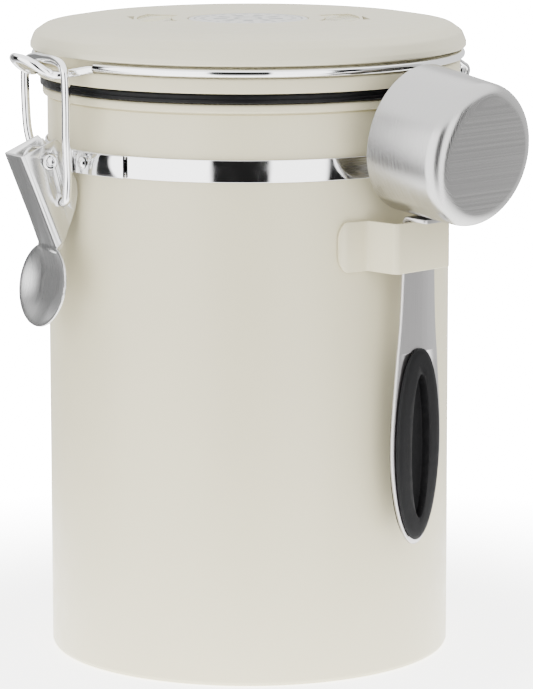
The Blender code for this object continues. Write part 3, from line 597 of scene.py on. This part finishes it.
def crisp(item, angle=35):
    """Shades a piece smooth, with its sharp edges kept."""
    item.data.shade_smooth()
    item.data.set_sharp_from_angle(angle=math.radians(angle))


# ---------------------------------------------------------------- the tin, in millimetres

BODY_RADIUS = 57.5
WALL = 0.8
RIM_LOW, RIM_HIGH, RIM_RADIUS = 160.1, 162.9, 58.8
BAND_INNER, BAND_OUTER = 57.75, 58.25
BAND_LOW, BAND_HIGH = 141.5, 147.7
BAND_MIDDLE = (BAND_LOW + BAND_HIGH) / 2
FOOT_RADIUS = 59.0
SHEET = 0.8
GAP = 0.3
RIVETS = {
    "ear_rivet_right": 9.2,
    "ear_rivet_left": -9.2,
    "hinge_rivet_right": 193,
    "hinge_rivet_left": 167,
}
PLUG_RADIUS = 55.3
RING_RADIUS, RING_HEIGHT, RING_WIRE = 60.6, 171.7, 1.3
CATCH_GAP = 16.3
COVER_RADIUS, COVER_LOW, COVER_TOP, COVER_UNDERSIDE = 62.2, 173.65, 181.4, 179.7
DECK = 177.5
CAP_RADIUS, CAP_HOLE = 17.1, 17.4
WINDOWS = {"month": -30, "day": 150}
WHEEL_DISTANCE, WHEEL_RADIUS, WHEEL_LOW, WHEEL_HIGH = 36.0, 16.5, 177.8, 178.7
WINDOW_INNER, WINDOW_OUTER, WINDOW_HALF_ANGLE = 22.0, 31.6, 24
LEVER_HALF_WIDTH = 5.8
LEVER_PIVOT, TOGGLE_PIVOT = (66.9, 145.0), (63.0, 133.5)
WEB_TOP, WEB_BOTTOM = (75.4, 146.7), (64.9, 121.0)
WEB_LEAN = (WEB_TOP[0] - WEB_BOTTOM[0]) / (WEB_TOP[1] - WEB_BOTTOM[1])
TAB_CENTRE, TAB_LIFT = (67.0, 109.9), 10.5
TAB_HALF_WIDTH, TAB_HALF_HEIGHT, TAB_DEPTH, TAB_FLOOR = 13.6, 11.9, 2.6, 0.40
LATCH_PIN = 1.6
TOGGLE_WIRE = 1.25
HINGE_Y, HINGE_Z, HINGE_EYE = 68.0, 163.5, 2.6
SCOOP_AZIMUTH = 105
HOLDER_LOW, HOLDER_HIGH, HOLDER_BRIDGE = 115.8, 129.8, 68.0
HOLDER_SHEET, HOLDER_HALF_WIDTH = 0.9, 10.8
CUP_TILT, CUP_MOUTH = 7.9, (66.0, 152.5)
CUP_RADIUS, CUP_BOTTOM_RADIUS, CUP_DEPTH, CUP_CORNER = 20.65, 19.8, 25.6, 5.0
HANDLE_DISTANCE, HANDLE_LEAN, HANDLE_SHEET = 66.3, 0.0156, 1.1
GRIP_MIDDLE, GRIP_HALF_WIDTH, GRIP_HALF_HEIGHT = 66.7, 8.8, 27.2


def in_metres(points):
    """Points in millimetres, in metres."""
    return [tuple(value * MM for value in point) for point in points]


def turned_mm(name, corners, segments=256, matrix=None, steps=5):
    """A turned solid from (radius, height, corner radius) corners in millimetres."""
    return turned(name, in_metres(rounded(corners, steps)), segments, matrix)


def at_mm(azimuth):
    """Places (side, out, up) in millimetres at an azimuth."""
    return lambda side, out, up: spot(azimuth, side * MM, out * MM, up * MM)


def canister():
    """The painted body with its rolled rim and a fine seam under it."""
    inner = BODY_RADIUS - WALL
    seam = RIM_LOW + 0.35
    corners = [
        (0, 0, 0),
        (BODY_RADIUS - 0.55, 0, 0.9),
        (BODY_RADIUS, 1.2, 0.9),
        (BODY_RADIUS, RIM_LOW - 0.3, 0.15),
        (BODY_RADIUS - 0.35, RIM_LOW, 0.15),
        (BODY_RADIUS - 0.35, seam, 0.1),
        (RIM_RADIUS, seam, 0.7),
        (RIM_RADIUS, RIM_HIGH, 0.9),
        (inner, RIM_HIGH, 0.35),
        (inner, WALL, 1.2),
        (0, WALL, 0),
    ]
    shell = turned_mm("canister_shell", corners, 320)
    piece("canister_shell", shell, M["paint"], "canister")


def strap():
    """The strap round the neck."""
    corners = [
        (BAND_INNER, BAND_LOW, 0.1),
        (BAND_OUTER, BAND_LOW, 0.2),
        (BAND_OUTER, BAND_HIGH, 0.2),
        (BAND_INNER, BAND_HIGH, 0.1),
    ]
    band = turned_mm("neck_band", corners, 320)
    piece("neck_band", band, M["polished"], "canister")


def rivet(name, azimuth):
    """A domed rivet through the strap and the foot on it."""
    base = FOOT_RADIUS + SHEET / 2 + 0.25
    dome = arc((0, base - 1.15), 2.3, 12, 90, 8)
    dome = [(radius * 1.85 / 2.25, max(height, base + 0.12)) for radius, height in dome]
    profile = [(0, BAND_INNER), (0.85, BAND_INNER), (0.85, base), (1.75, base), (1.85, base + 0.1)]
    profile += dome[:-1] + [(0, base + 1.1)]
    matrix = facing_out(azimuth, 0, 0, BAND_MIDDLE * MM)
    piece(name, turned(name, in_metres(profile), 40, matrix), M["polished"], "canister")


def latch_ear(hand, node):
    """A foot along the strap, bent outwards to the lever's pin."""
    side_offset = LEVER_HALF_WIDTH - SHEET - GAP - SHEET / 2
    foot = [math.radians(24.5 - 1.5 * k) for k in range(11)]
    path = [(FOOT_RADIUS * math.sin(a), FOOT_RADIUS * math.cos(a)) for a in foot]
    path += [(5.3, 58.9), (4.75, 59.05), (4.4, 59.4), (side_offset, 60.0)]
    edges = [(BAND_LOW, BAND_HIGH)] * len(path)
    out, up = LEVER_PIVOT
    for angle in (0, 15, 30, 45, 60, 75):
        reach, half = 3.3 * math.sin(math.radians(angle)), 3.3 * math.cos(math.radians(angle))
        path.append((side_offset, out + reach))
        edges.append((up - half, up + half))
    place = at_mm(0)
    ear = bent_sheet(node, path, SHEET, edges, lambda s, r, z: place(hand * s, r, z))
    item = piece(node, ear, M["polished"], "canister")
    middle = facing_sideways(0, hand * side_offset * MM, out * MM, up * MM)
    with_shapes(item, (cylinder("hole", LATCH_PIN + GAP, 1.0, middle), "DIFFERENCE"))


def cylinder(name, radius, half_length, matrix, segments=40):
    """A cylinder about local Z."""
    profile = [(0, -half_length), (radius, -half_length), (radius, half_length), (0, half_length)]
    return turned(name, in_metres(profile), segments, matrix)


def lever_pin():
    """A tubular rivet through the lever and the two ears."""
    head = LEVER_HALF_WIDTH + GAP
    end, floor = head + 0.7, head - 0.9
    half = [(0, -floor), (1.05, -floor), (1.1, -floor - 0.05), (1.1, -end + 0.25), (1.2, -end + 0.08)]
    half += [(1.4, -end), (1.9, -end), (2.12, -end + 0.1), (2.25, -end + 0.3), (2.25, -head)]
    half += [(LATCH_PIN, -head)]
    profile = half + [(radius, -level) for radius, level in reversed(half)]
    out, up = LEVER_PIVOT
    pin = turned("pin", in_metres(profile), 48, facing_sideways(0, 0, out * MM, up * MM))
    piece("lever_pin", pin, M["polished"], "canister")


def lever():
    """A channel of sheet with rounded bends, and the dished thumb tab at its foot."""
    place = at_mm(0)

    def on_lever(out, up, side):
        return place(side, out, up)

    back = [(64.8, 151.2), (62.0, 148.6), (60.3, 146.2), (59.8, 141.2), (58.6, 139.4), (58.3, 136.0)]
    back += [(58.8, 132.8), (59.7, 129.7), (61.2, 126.0), (62.5, 122.9), (63.6, 120.6)]
    curved = [tuple(p) for p in smooth_path(back[1:4], 4) + smooth_path(back[4:], 4)]
    outline = [WEB_TOP, back[0]] + curved + [(64.2, 119.2), (65.25, 119.2), WEB_BOTTOM]
    block = plate("lever", outline, -LEVER_HALF_WIDTH, LEVER_HALF_WIDTH, on_lever)
    item = piece("latch_lever", block, M["tab"], "lever")
    bevel_edges(item, 1.0, lambda a, b: near_web(a) and near_web(b) and abs(a.x - b.x) < 0.1 * MM)

    def web_inside(up):
        return WEB_BOTTOM[0] + WEB_LEAN * (up - WEB_BOTTOM[1]) - SHEET * 1.08

    inner, low, high = LEVER_HALF_WIDTH - SHEET, WEB_BOTTOM[1] + 2.4, 160
    hollow = [(web_inside(high), high), (50, high), (50, low), (web_inside(low), low)]
    cuts = [plate("hollow", hollow, -inner, inner, on_lever)]
    for (out, up), radius in ((LEVER_PIVOT, LATCH_PIN + GAP), (TOGGLE_PIVOT, TOGGLE_WIRE + GAP)):
        cuts.append(cylinder("hole", radius, 10, facing_sideways(0, 0, out * MM, up * MM)))
    with_shapes(item, *[(mesh, "DIFFERENCE") for mesh in cuts], (thumb_tab(), "UNION"))
    soften(item, 0.16 * MM, 2, 40)


def near_web(point):
    """Whether a point lies on the outer face of the lever's web."""
    out, up = -point.y / MM, point.z / MM
    face = WEB_BOTTOM[0] + WEB_LEAN * (up - WEB_BOTTOM[1])
    return abs(out - face) < 0.05 and WEB_BOTTOM[1] - 1.3 < up < WEB_TOP[1] + 1.3


def bevel_edges(item, width, wanted):
    """Rounds the edges whose two end points are wanted."""
    bm = bmesh.new()
    bm.from_mesh(item.data)
    edges = [e for e in bm.edges if wanted(*(v.co for v in e.verts))]
    bmesh.ops.bevel(bm, geom=edges, offset=width * MM, segments=5, profile=0.5, affect="EDGES")
    bm.to_mesh(item.data)
    bm.free()


def thumb_tab():
    """A shallow oval dish, hollow on its outer side, tipped so that its foot stands out."""
    depth, floor = TAB_DEPTH, TAB_FLOOR
    front = [(0, -depth), (floor - 0.03, -depth), (floor, -depth + 0.03), (floor + 0.04, -depth + 0.14)]
    front += [(0.55, -2.02), (0.66, -1.5), (0.78, -0.88), (0.88, -0.36), (0.94, -0.08), (0.975, 0)]
    front += [(0.992, -0.08), (1.0, -0.3), (1.0, -0.6), (0.985, -SHEET)]
    behind = [(0.92, -SHEET - 0.2), (0.75, -SHEET - 1.1), (0.5, -SHEET - 2.2)]
    behind += [(floor - 0.03, -depth - SHEET), (0, -depth - SHEET)]
    profile = [(radius, height * MM) for radius, height in front + behind]
    out, up = TAB_CENTRE
    scale = Matrix.Diagonal((TAB_HALF_WIDTH * MM, TAB_HALF_HEIGHT * MM, 1, 1))
    return turned("thumb_tab", profile, 96, facing_out(0, 0, out * MM, up * MM, -TAB_LIFT) @ scale)


def wire_through(name, node, half, middle, body):
    """Round wire through (side, out, up) points of one half, a middle point and their mirror."""
    place = at_mm(0)
    other = [(-s, r, z) for s, r, z in reversed(half)]
    route = [place(*point) for point in half + [middle] + other]
    wire = tube(name, smooth_path(route, 10), TOGGLE_WIRE * MM)
    piece(node, wire, M["polished"], body)


def toggle():
    """The arched wire that hangs in the lever and pulls the catch down."""
    out, up = TOGGLE_PIVOT
    half = [
        (LEVER_HALF_WIDTH - 2.0, out, up),
        (LEVER_HALF_WIDTH + 0.4, out, up),
        (LEVER_HALF_WIDTH + 2.3, out, up + 0.9),
        (LEVER_HALF_WIDTH + 2.9, out, up + 3.0),
        (9.1, 63.0, 140.5),
        (10.3, 63.8, 146.0),
        (11.7, 64.7, 152.0),
        (12.3, 64.95, 158.5),
        (12.4, 65.1, 166.5),
        (11.8, 65.1, 170.3),
        (9.6, 65.1, 172.3),
        (5.5, 65.1, 173.1),
    ]
    wire_through("toggle", "toggle_wire", half, (0, 65.1, 173.1), "toggle")


def catch_loop():
    """The nose of wire that closes the lid's ring."""
    half = []
    along = [(60.8, 15.9, 171.2), (61.3, 14.0, 170.9), (62.3, 11.8, 170.3), (63.2, 9.2, 169.7)]
    for radius, azimuth, up in along:
        angle = math.radians(azimuth)
        half.append((radius * math.sin(angle), radius * math.cos(angle), up))
    half += [(8.0, 64.0, 169.2), (7.0, 66.1, 169.3), (6.7, 68.5, 170.3), (5.6, 71.0, 172.0)]
    half += [(3.4, 73.0, 173.4)]
    wire_through("catch", "catch_loop", half, (0, 74.0, 173.8), "lid")


def lid_ring():
    """The wire round the lid, open at the catch."""
    angles = [CATCH_GAP + (360 - 2 * CATCH_GAP) * k / 240 for k in range(241)]
    path = [spot(a, 0, RING_RADIUS * MM, RING_HEIGHT * MM) for a in angles]
    piece("lid_ring", tube("ring", path, RING_WIRE * MM), M["polished"], "lid")


def sector(margin):
    """(side, out) outline of a window of the lid, grown by a margin."""
    half = WINDOW_HALF_ANGLE + math.degrees(margin / WINDOW_OUTER)
    outer = arc((0, 0), WINDOW_OUTER + margin, 90 - half, 90 + half, 24)
    inner = arc((0, 0), WINDOW_INNER - margin, 90 + half, 90 - half, 18)
    return outer + inner


def lid_cover():
    """The domed cap of the lid, with its windows and finger slots."""
    corners = [
        (COVER_RADIUS - 1.1, COVER_LOW, 0.2),
        (COVER_RADIUS, COVER_LOW, 0.5),
        (62.15, 175.2, 1.2),
        (61.1, 177.9, 2.2),
        (58.0, 180.1, 4.0),
        (50.0, COVER_TOP, 12.0),
        (CAP_HOLE, COVER_TOP, 0.3),
        (CAP_HOLE, COVER_UNDERSIDE, 0.1),
        (50.0, COVER_UNDERSIDE, 3.0),
        (55.8, 179.1, 2.0),
        (60.0, 176.9, 2.0),
        (60.95, 174.9, 0.5),
    ]
    cover = turned_mm("cover", corners, 320, steps=8)
    item = piece("lid_cover", cover, M["plastic"], "lid")
    cuts = []
    for azimuth in WINDOWS.values():
        place = at_mm(azimuth)
        cuts.append(plate("window", sector(GAP / 2), COVER_UNDERSIDE - 2, COVER_TOP + 2, place))
        slot = [(5.5, 32.6), (-6.0, 34.9), (-6.0, 32.6)]
        cuts.append(plate("slot", slot, COVER_UNDERSIDE - 2, COVER_TOP + 2, place))
    with_shapes(item, *[(mesh, "DIFFERENCE") for mesh in cuts])
    crisp(item)


def lid_core():
    """The lid's plug, flange and deck, with the groove for the ring."""
    groove = RING_RADIUS - RING_WIRE - 0.4
    corners = [
        (8.0, 155.6, 0.2),
        (PLUG_RADIUS, 155.6, 1.2),
        (PLUG_RADIUS, 165.95, 0.3),
        (60.5, 165.95, 0.6),
        (60.5, 170.05, 0.9),
        (groove, 170.05, 0.3),
        (groove, COVER_LOW - GAP, 0.1),
        (COVER_RADIUS - 1.6, COVER_LOW - GAP, 0.1),
        (COVER_RADIUS - 1.6, COVER_LOW + 0.9, 0.4),
        (59.4, 176.4, 0.5),
        (57.0, DECK, 0.5),
        (13.4, DECK, 0.2),
        (13.4, 170.2, 0.2),
        (8.0, 170.2, 0.2),
    ]
    item = piece("lid_core", turned_mm("core", corners, 320, steps=4), M["core"], "lid")
    holes = []
    for azimuth in WINDOWS.values():
        middle = spot(azimuth, 0, WHEEL_DISTANCE * MM, (DECK - 0.8) * MM)
        holes.append(cylinder("hole", 2.1, 1.8, Matrix.Translation(middle)))
    with_shapes(item, *[(mesh, "DIFFERENCE") for mesh in holes])


def gasket():
    """The rubber ring under the flange, with a fine groove round it."""
    inner, outer = PLUG_RADIUS + 0.35, 59.5
    low, high = RIM_HIGH + GAP, 165.65
    middle = (low + high) / 2
    corners = [
        (inner, low, 0.2),
        (outer, low, 0.5),
        (outer, middle - 0.25, 0.15),
        (outer - 0.3, middle, 0.2),
        (outer, middle + 0.25, 0.15),
        (outer, high, 0.5),
        (inner, high, 0.2),
    ]
    piece("lid_gasket", turned_mm("gasket", corners, 256, steps=4), M["gasket"], "lid")


def liner():
    """The steel plate under the plug."""
    high, outer, inner = 155.3, PLUG_RADIUS - 0.4, 8.3
    corners = [(inner, high - 0.9, 0.2), (outer, high - 0.9, 0.4), (outer, high, 0.1), (inner, high, 0.1)]
    piece("lid_liner", turned_mm("liner", corners, 192), M["liner"], "lid")


def valve():
    """The cap in the lid's top, with a fine groove round its face, over its seat and membrane."""
    seat_low = 172.2
    seat_high, outer = seat_low + 1.6, 13.0
    membrane_low = seat_high + GAP
    stop = membrane_low + 0.8 + 0.8 + GAP
    top = COVER_TOP - 0.1
    corners = [
        (0, stop, 0),
        (2.0, stop, 0.3),
        (2.0, 178.6, 0.3),
        (11.0, 178.6, 0.3),
        (11.0, membrane_low, 0.1),
        (outer, membrane_low, 0.2),
        (outer, COVER_UNDERSIDE + GAP, 0.1),
        (CAP_RADIUS, COVER_UNDERSIDE + GAP, 0.1),
        (CAP_RADIUS, top, 0.45),
        (15.5, top, 0.1),
        (15.3, top - 0.25, 0.1),
        (15.1, top, 0.1),
        (0, top, 0),
    ]
    piece("valve_cap", turned_mm("cap", corners, 128, steps=3), M["cap"], "lid")
    corners = [(0, seat_low, 0), (outer, seat_low, 0.2), (outer, seat_high, 0.2), (0, seat_high, 0)]
    seat = piece("valve_seat", turned_mm("seat", corners, 96), M["core"], "lid")
    holes = []
    for k in range(6):
        middle = spot(60 * k + 8, 0, 4.7 * MM, (seat_low + 0.8) * MM)
        holes.append((cylinder("hole", 1.2, 2, Matrix.Translation(middle)), "DIFFERENCE"))
    with_shapes(seat, *holes)
    corners = [(0, membrane_low, 0), (8.5, membrane_low, 0.2), (8.5, membrane_low + 0.8, 0.2)]
    corners += [(0, membrane_low + 0.8, 0)]
    disc = turned_mm("membrane", corners, 96)
    piece("valve_membrane", disc, M["gasket"], "membrane")
    corners = [(0, 170.5, 0), (outer, 170.5, 0.4), (outer, 171.9, 0.4), (0, 171.9, 0)]
    piece("valve_filter", turned_mm("filter", corners, 96), M["felt"], "lid")


def date_dial(name, azimuth, count):
    """A numbered wheel, its pivot and the window over it."""
    centre = spot(azimuth, 0, WHEEL_DISTANCE * MM, 0)
    place = Matrix.Translation(centre)
    corners = [
        (2.1, WHEEL_LOW, 0.1),
        (WHEEL_RADIUS, WHEEL_LOW, 0.2),
        (WHEEL_RADIUS, WHEEL_HIGH, 0.2),
        (2.1, WHEEL_HIGH, 0.1),
    ]
    wheel = turned_mm("wheel", corners, 128, place, 3)
    item = piece(f"{name}_wheel", wheel, M["wheel"], f"{name}_dial")
    item.data.materials.append(M["ink"])
    with_shapes(item, *[(mesh, "UNION") for mesh in numerals(name, azimuth, count)])
    corners = [
        (0, DECK - 2.3, 0),
        (1.8, DECK - 2.3, 0.3),
        (1.8, WHEEL_HIGH + GAP, 0.1),
        (3.0, WHEEL_HIGH + GAP, 0.1),
        (3.0, COVER_UNDERSIDE - 0.25, 0.3),
        (0, COVER_UNDERSIDE - 0.25, 0),
    ]
    stud = turned_mm("stud", corners, 64, place, 3)
    piece(f"{name}_pivot", stud, M["polished"], "lid")
    lens = plate("lens", sector(0), COVER_UNDERSIDE + 0.1, COVER_TOP - 0.2, at_mm(azimuth))
    item = piece(f"{name}_lens", lens, M["lens"], "lid")
    soften(item, 0.15 * MM, 2)


def numerals(name, azimuth, count):
    """Raised numbers round a wheel, as solids that sink a little into it."""
    centre = spot(azimuth, 0, WHEEL_DISTANCE * MM, (WHEEL_HIGH - 0.05) * MM)
    meshes = []
    for k in range(count):
        data = bpy.data.curves.new(f"{name}_number", "FONT")
        data.body = str(k + 1)
        data.size = 3.4 * MM
        data.align_x, data.align_y = "CENTER", "CENTER"
        data.extrude = 0.1 * MM
        data.resolution_u = 2
        holder = bpy.data.objects.new("number", data)
        bpy.context.collection.objects.link(holder)
        mesh = bpy.data.meshes.new_from_object(holder)
        bpy.data.objects.remove(holder)
        turn = azimuth + 180 + 360 * k / count
        inner = spot(turn, 0, 11.5 * MM, 0)
        facing = axes(sideways(azimuth), outward(azimuth) * -1, UP, centre + inner)
        mesh.transform(facing)
        meshes.append(mesh)
    return meshes


def hinge():
    """The lid's two ears, the bracket on the strap and the pin through them."""
    place = at_mm(180)
    ear_offset = 6.6 + SHEET + GAP
    eye = arc((HINGE_Y, HINGE_Z), HINGE_EYE, 50, -130, 24)
    outline = [(62.4, 170.0)] + eye + [(61.2, 164.2), (61.2, 170.0)]
    for node, hand in (("hinge_ear_left", -1), ("hinge_ear_right", 1)):
        middle = hand * ear_offset
        ear = plate(node, outline, middle - SHEET / 2, middle + SHEET / 2, lambda r, z, s: place(s, r, z))
        item = piece(node, ear, M["polished"], "lid")
        matrix = facing_sideways(180, middle * MM, HINGE_Y * MM, HINGE_Z * MM)
        with_shapes(item, (cylinder("hole", 1.2, 2, matrix), "DIFFERENCE"))
        soften(item, 0.15 * MM, 2)
    angles = [math.radians(-17 + 1.7 * k) for k in range(21)]
    path = [(FOOT_RADIUS * math.sin(a), FOOT_RADIUS * math.cos(a)) for a in angles]
    foot = bent_sheet("bracket", path, SHEET, [(BAND_LOW, BAND_HIGH)] * len(path), place)
    bracket = piece("hinge_bracket", foot, M["polished"], "canister")
    eye = arc((HINGE_Y, HINGE_Z), HINGE_EYE, -20, 160, 24)
    arm = [(58.4, BAND_HIGH), (58.4, BAND_LOW), (61.5, BAND_LOW), (66.5, 150.0)] + eye
    arm += [(62.6, 152.5), (60.8, BAND_HIGH)]
    for hand in (-1, 1):
        middle = hand * 6.6
        shape = plate("arm", arm, middle - SHEET / 2, middle + SHEET / 2, lambda r, z, s: place(s, r, z))
        with_shapes(bracket, (shape, "UNION"))
    matrix = facing_sideways(180, 0, HINGE_Y * MM, HINGE_Z * MM)
    with_shapes(bracket, (cylinder("hole", 1.2, 12, matrix), "DIFFERENCE"))
    soften(bracket, 0.12 * MM, 2, 50)
    corners = [(0, -ear_offset, 0), (0.9, -ear_offset, 0.15), (0.9, ear_offset, 0.15), (0, ear_offset, 0)]
    piece("hinge_pin", turned_mm("pin", corners, 32, matrix), M["polished"], "canister")


def holder():
    """The scoop's holder: a bridge of painted sheet with rounded bends and a tab each side."""
    tab_radius = BODY_RADIUS + 0.35 + HOLDER_SHEET / 2
    middle = (HOLDER_LOW + HOLDER_HIGH) / 2
    half_height = (HOLDER_HIGH - HOLDER_LOW) / 2
    half = []
    for k in range(25):
        azimuth = 20.1 - 0.33 * k
        angle = math.radians(azimuth)
        past = max(azimuth - 17.2, 0) / 3.25
        share = math.sqrt(max(0.0, 1 - past**2))
        half.append((tab_radius * math.sin(angle), tab_radius * math.cos(angle), share * half_height))
    wall = HOLDER_HALF_WIDTH
    bend = [(wall + 0.75, tab_radius - 1.05), (wall + 0.25, tab_radius - 0.75), (wall, tab_radius - 0.1)]
    corner = [(wall - 1.3 + side, HOLDER_BRIDGE - 1.3 + out) for side, out in arc((0, 0), 1.3, 0, 90, 8)]
    half += [(side, out, half_height) for side, out in bend + corner]
    full = half + [(-side, out, height) for side, out, height in reversed(half)]
    path = [(side, out) for side, out, _ in full]
    edges = [(middle - height, middle + height) for _, _, height in full]
    sheet = bent_sheet("holder", path, HOLDER_SHEET, edges, at_mm(SCOOP_AZIMUTH))
    piece("scoop_holder", sheet, M["paint"], "canister")


def cup():
    """The scoop's cup, which lies on its side and tips down a little."""
    wall = 0.9
    corners = [
        (CUP_RADIUS - wall, 0, 0.25),
        (CUP_RADIUS, 0, 0.25),
        (CUP_BOTTOM_RADIUS, CUP_DEPTH, CUP_CORNER),
        (0, CUP_DEPTH, 0),
        (0, CUP_DEPTH - wall, 0),
        (CUP_BOTTOM_RADIUS - wall, CUP_DEPTH - wall, CUP_CORNER - wall),
    ]
    out, up = CUP_MOUTH
    matrix = facing_out(SCOOP_AZIMUTH, 0, out * MM, up * MM, CUP_TILT)
    mesh = turned_mm("cup", corners, 256, matrix, 16)
    piece("scoop_cup", mesh, M["cup"], "scoop")


def handle_line(up):
    """How far out the middle of the handle's sheet lies at a height."""
    return HANDLE_DISTANCE - max(HOLDER_HIGH - up, 0) * HANDLE_LEAN


def under_cup(out):
    """The height of the cup's underside that far out."""
    tilt = math.radians(CUP_TILT)
    taper = math.atan((CUP_RADIUS - CUP_BOTTOM_RADIUS) / (CUP_DEPTH - CUP_CORNER))
    start_out = CUP_MOUTH[0] - CUP_RADIUS * math.sin(tilt)
    start_up = CUP_MOUTH[1] - CUP_RADIUS * math.cos(tilt)
    return start_up - (out - start_out) * math.tan(tilt - taper)


def handle():
    """The strap under the cup, with an opening for the grip."""
    drop = HANDLE_SHEET / 2 + 0.25
    stations = [(73.6, 4.2), (73.4, 4.9), (73.0, 5.3), (72.4, 5.6), (70.4, 6.0), (68.4, 6.3)]
    path = [(out, under_cup(out) - drop) for out, _ in stations]
    halves = [half for _, half in stations]
    bend = under_cup(HANDLE_DISTANCE) - drop
    path += [(67.3, bend - 0.12), (66.85, bend - 0.4), (66.5, bend - 0.8), (HANDLE_DISTANCE, bend - 1.4)]
    halves += [6.3] * 4
    outline = [
        (115.0, 6.3), (104.0, 6.8), (97.7, 7.3), (91.4, 8.0), (85.0, 8.6), (78.6, 9.2), (72.2, 9.65),
        (66.7, 9.8), (61.0, 9.55), (55.5, 8.8), (50.0, 7.6), (45.5, 6.1), (42.0, 4.5), (39.8, 3.0),
        (38.7, 1.7), (38.3, 0.7),
    ]
    for up, half in smooth_path(outline, 4):
        path.append((handle_line(up), up))
        halves.append(half)
    place = at_mm(SCOOP_AZIMUTH)
    edges = [(-half, half) for half in halves]
    sheet = bent_sheet("handle", path, HANDLE_SHEET, edges, lambda r, z, s: place(s, r, z))
    item = piece("scoop_handle", sheet, M["handle"], "scoop")
    opening = egg(GRIP_HALF_WIDTH - 1.1, GRIP_HALF_HEIGHT - 1.2, 96)
    with_shapes(item, (plate("opening", opening, 60, 72, lambda s, z, r: place(s, r, z)), "DIFFERENCE"))


def egg(half_width, half_height, steps):
    """The grip's outline as (side, up) points: an oval that is fuller above than below."""
    points = []
    for k in range(steps):
        angle = 2 * math.pi * k / steps
        fullness = 0.86 if math.sin(angle) > 0 else 1.0
        side = math.copysign(abs(math.cos(angle)) ** fullness, math.cos(angle))
        points.append((half_width * side, GRIP_MIDDLE + half_height * math.sin(angle)))
    return points


def grip():
    """A crowned rubber grommet in the handle's opening, with a blind finger slot in front."""
    sheet = HANDLE_SHEET / 2 + GAP
    levels = [(-2.2, 1.6), (-2.15, 1.2), (-1.9, 0.5), (-sheet - 0.6, 0.05), (-sheet - 0.1, 0)]
    levels += [(-sheet, 0.1), (-sheet, 1.4), (sheet, 1.4), (sheet, 0.1), (sheet + 0.08, 0)]
    crown = [(0.3, 0.05), (0.6, 0.35), (0.8, 0.8), (0.92, 1.4), (0.98, 2.1), (1.0, 2.9), (1.0, 3.8)]
    levels += [(sheet + (1.85 - sheet) * rise, inset) for rise, inset in crown]
    steps = 96
    place = at_mm(SCOOP_AZIMUTH)
    bm = bmesh.new()
    rings = []
    for offset, inset in levels:
        outline = egg(GRIP_HALF_WIDTH - inset, GRIP_HALF_HEIGHT - inset, steps)
        rings.append([bm.verts.new(place(side, handle_line(up) + offset, up)) for side, up in outline])
    for lower, upper in zip(rings, rings[1:]):
        for k in range(steps):
            after = (k + 1) % steps
            bm.faces.new((lower[k], lower[after], upper[after], upper[k]))
    bm.faces.new(rings[0])
    bm.faces.new(rings[-1])
    item = piece("scoop_grip", finished("grip", bm, 50), M["rubber"], "scoop")
    slot = [(side + 0.4, up) for side, up in oval(3.6, 20.4, 66.3, 80)]
    floor = handle_line(GRIP_MIDDLE) - 1.0
    with_shapes(item, (plate("slot", slot, floor, 72, lambda s, z, r: place(s, r, z)), "DIFFERENCE"))
    soften(item, 0.3 * MM, 3, 60)


def main():
    """Builds the studio and every piece."""
    add_camera()
    add_world()
    add_floor()
    make_materials()
    canister()
    strap()
    for node, azimuth in RIVETS.items():
        rivet(node, azimuth)
    latch_ear(1, "latch_ear_right")
    latch_ear(-1, "latch_ear_left")
    lever_pin()
    lever()
    toggle()
    catch_loop()
    lid_ring()
    lid_cover()
    lid_core()
    gasket()
    liner()
    valve()
    date_dial("month", WINDOWS["month"], 12)
    date_dial("day", WINDOWS["day"], 31)
    hinge()
    holder()
    cup()
    handle()
    grip()


main()
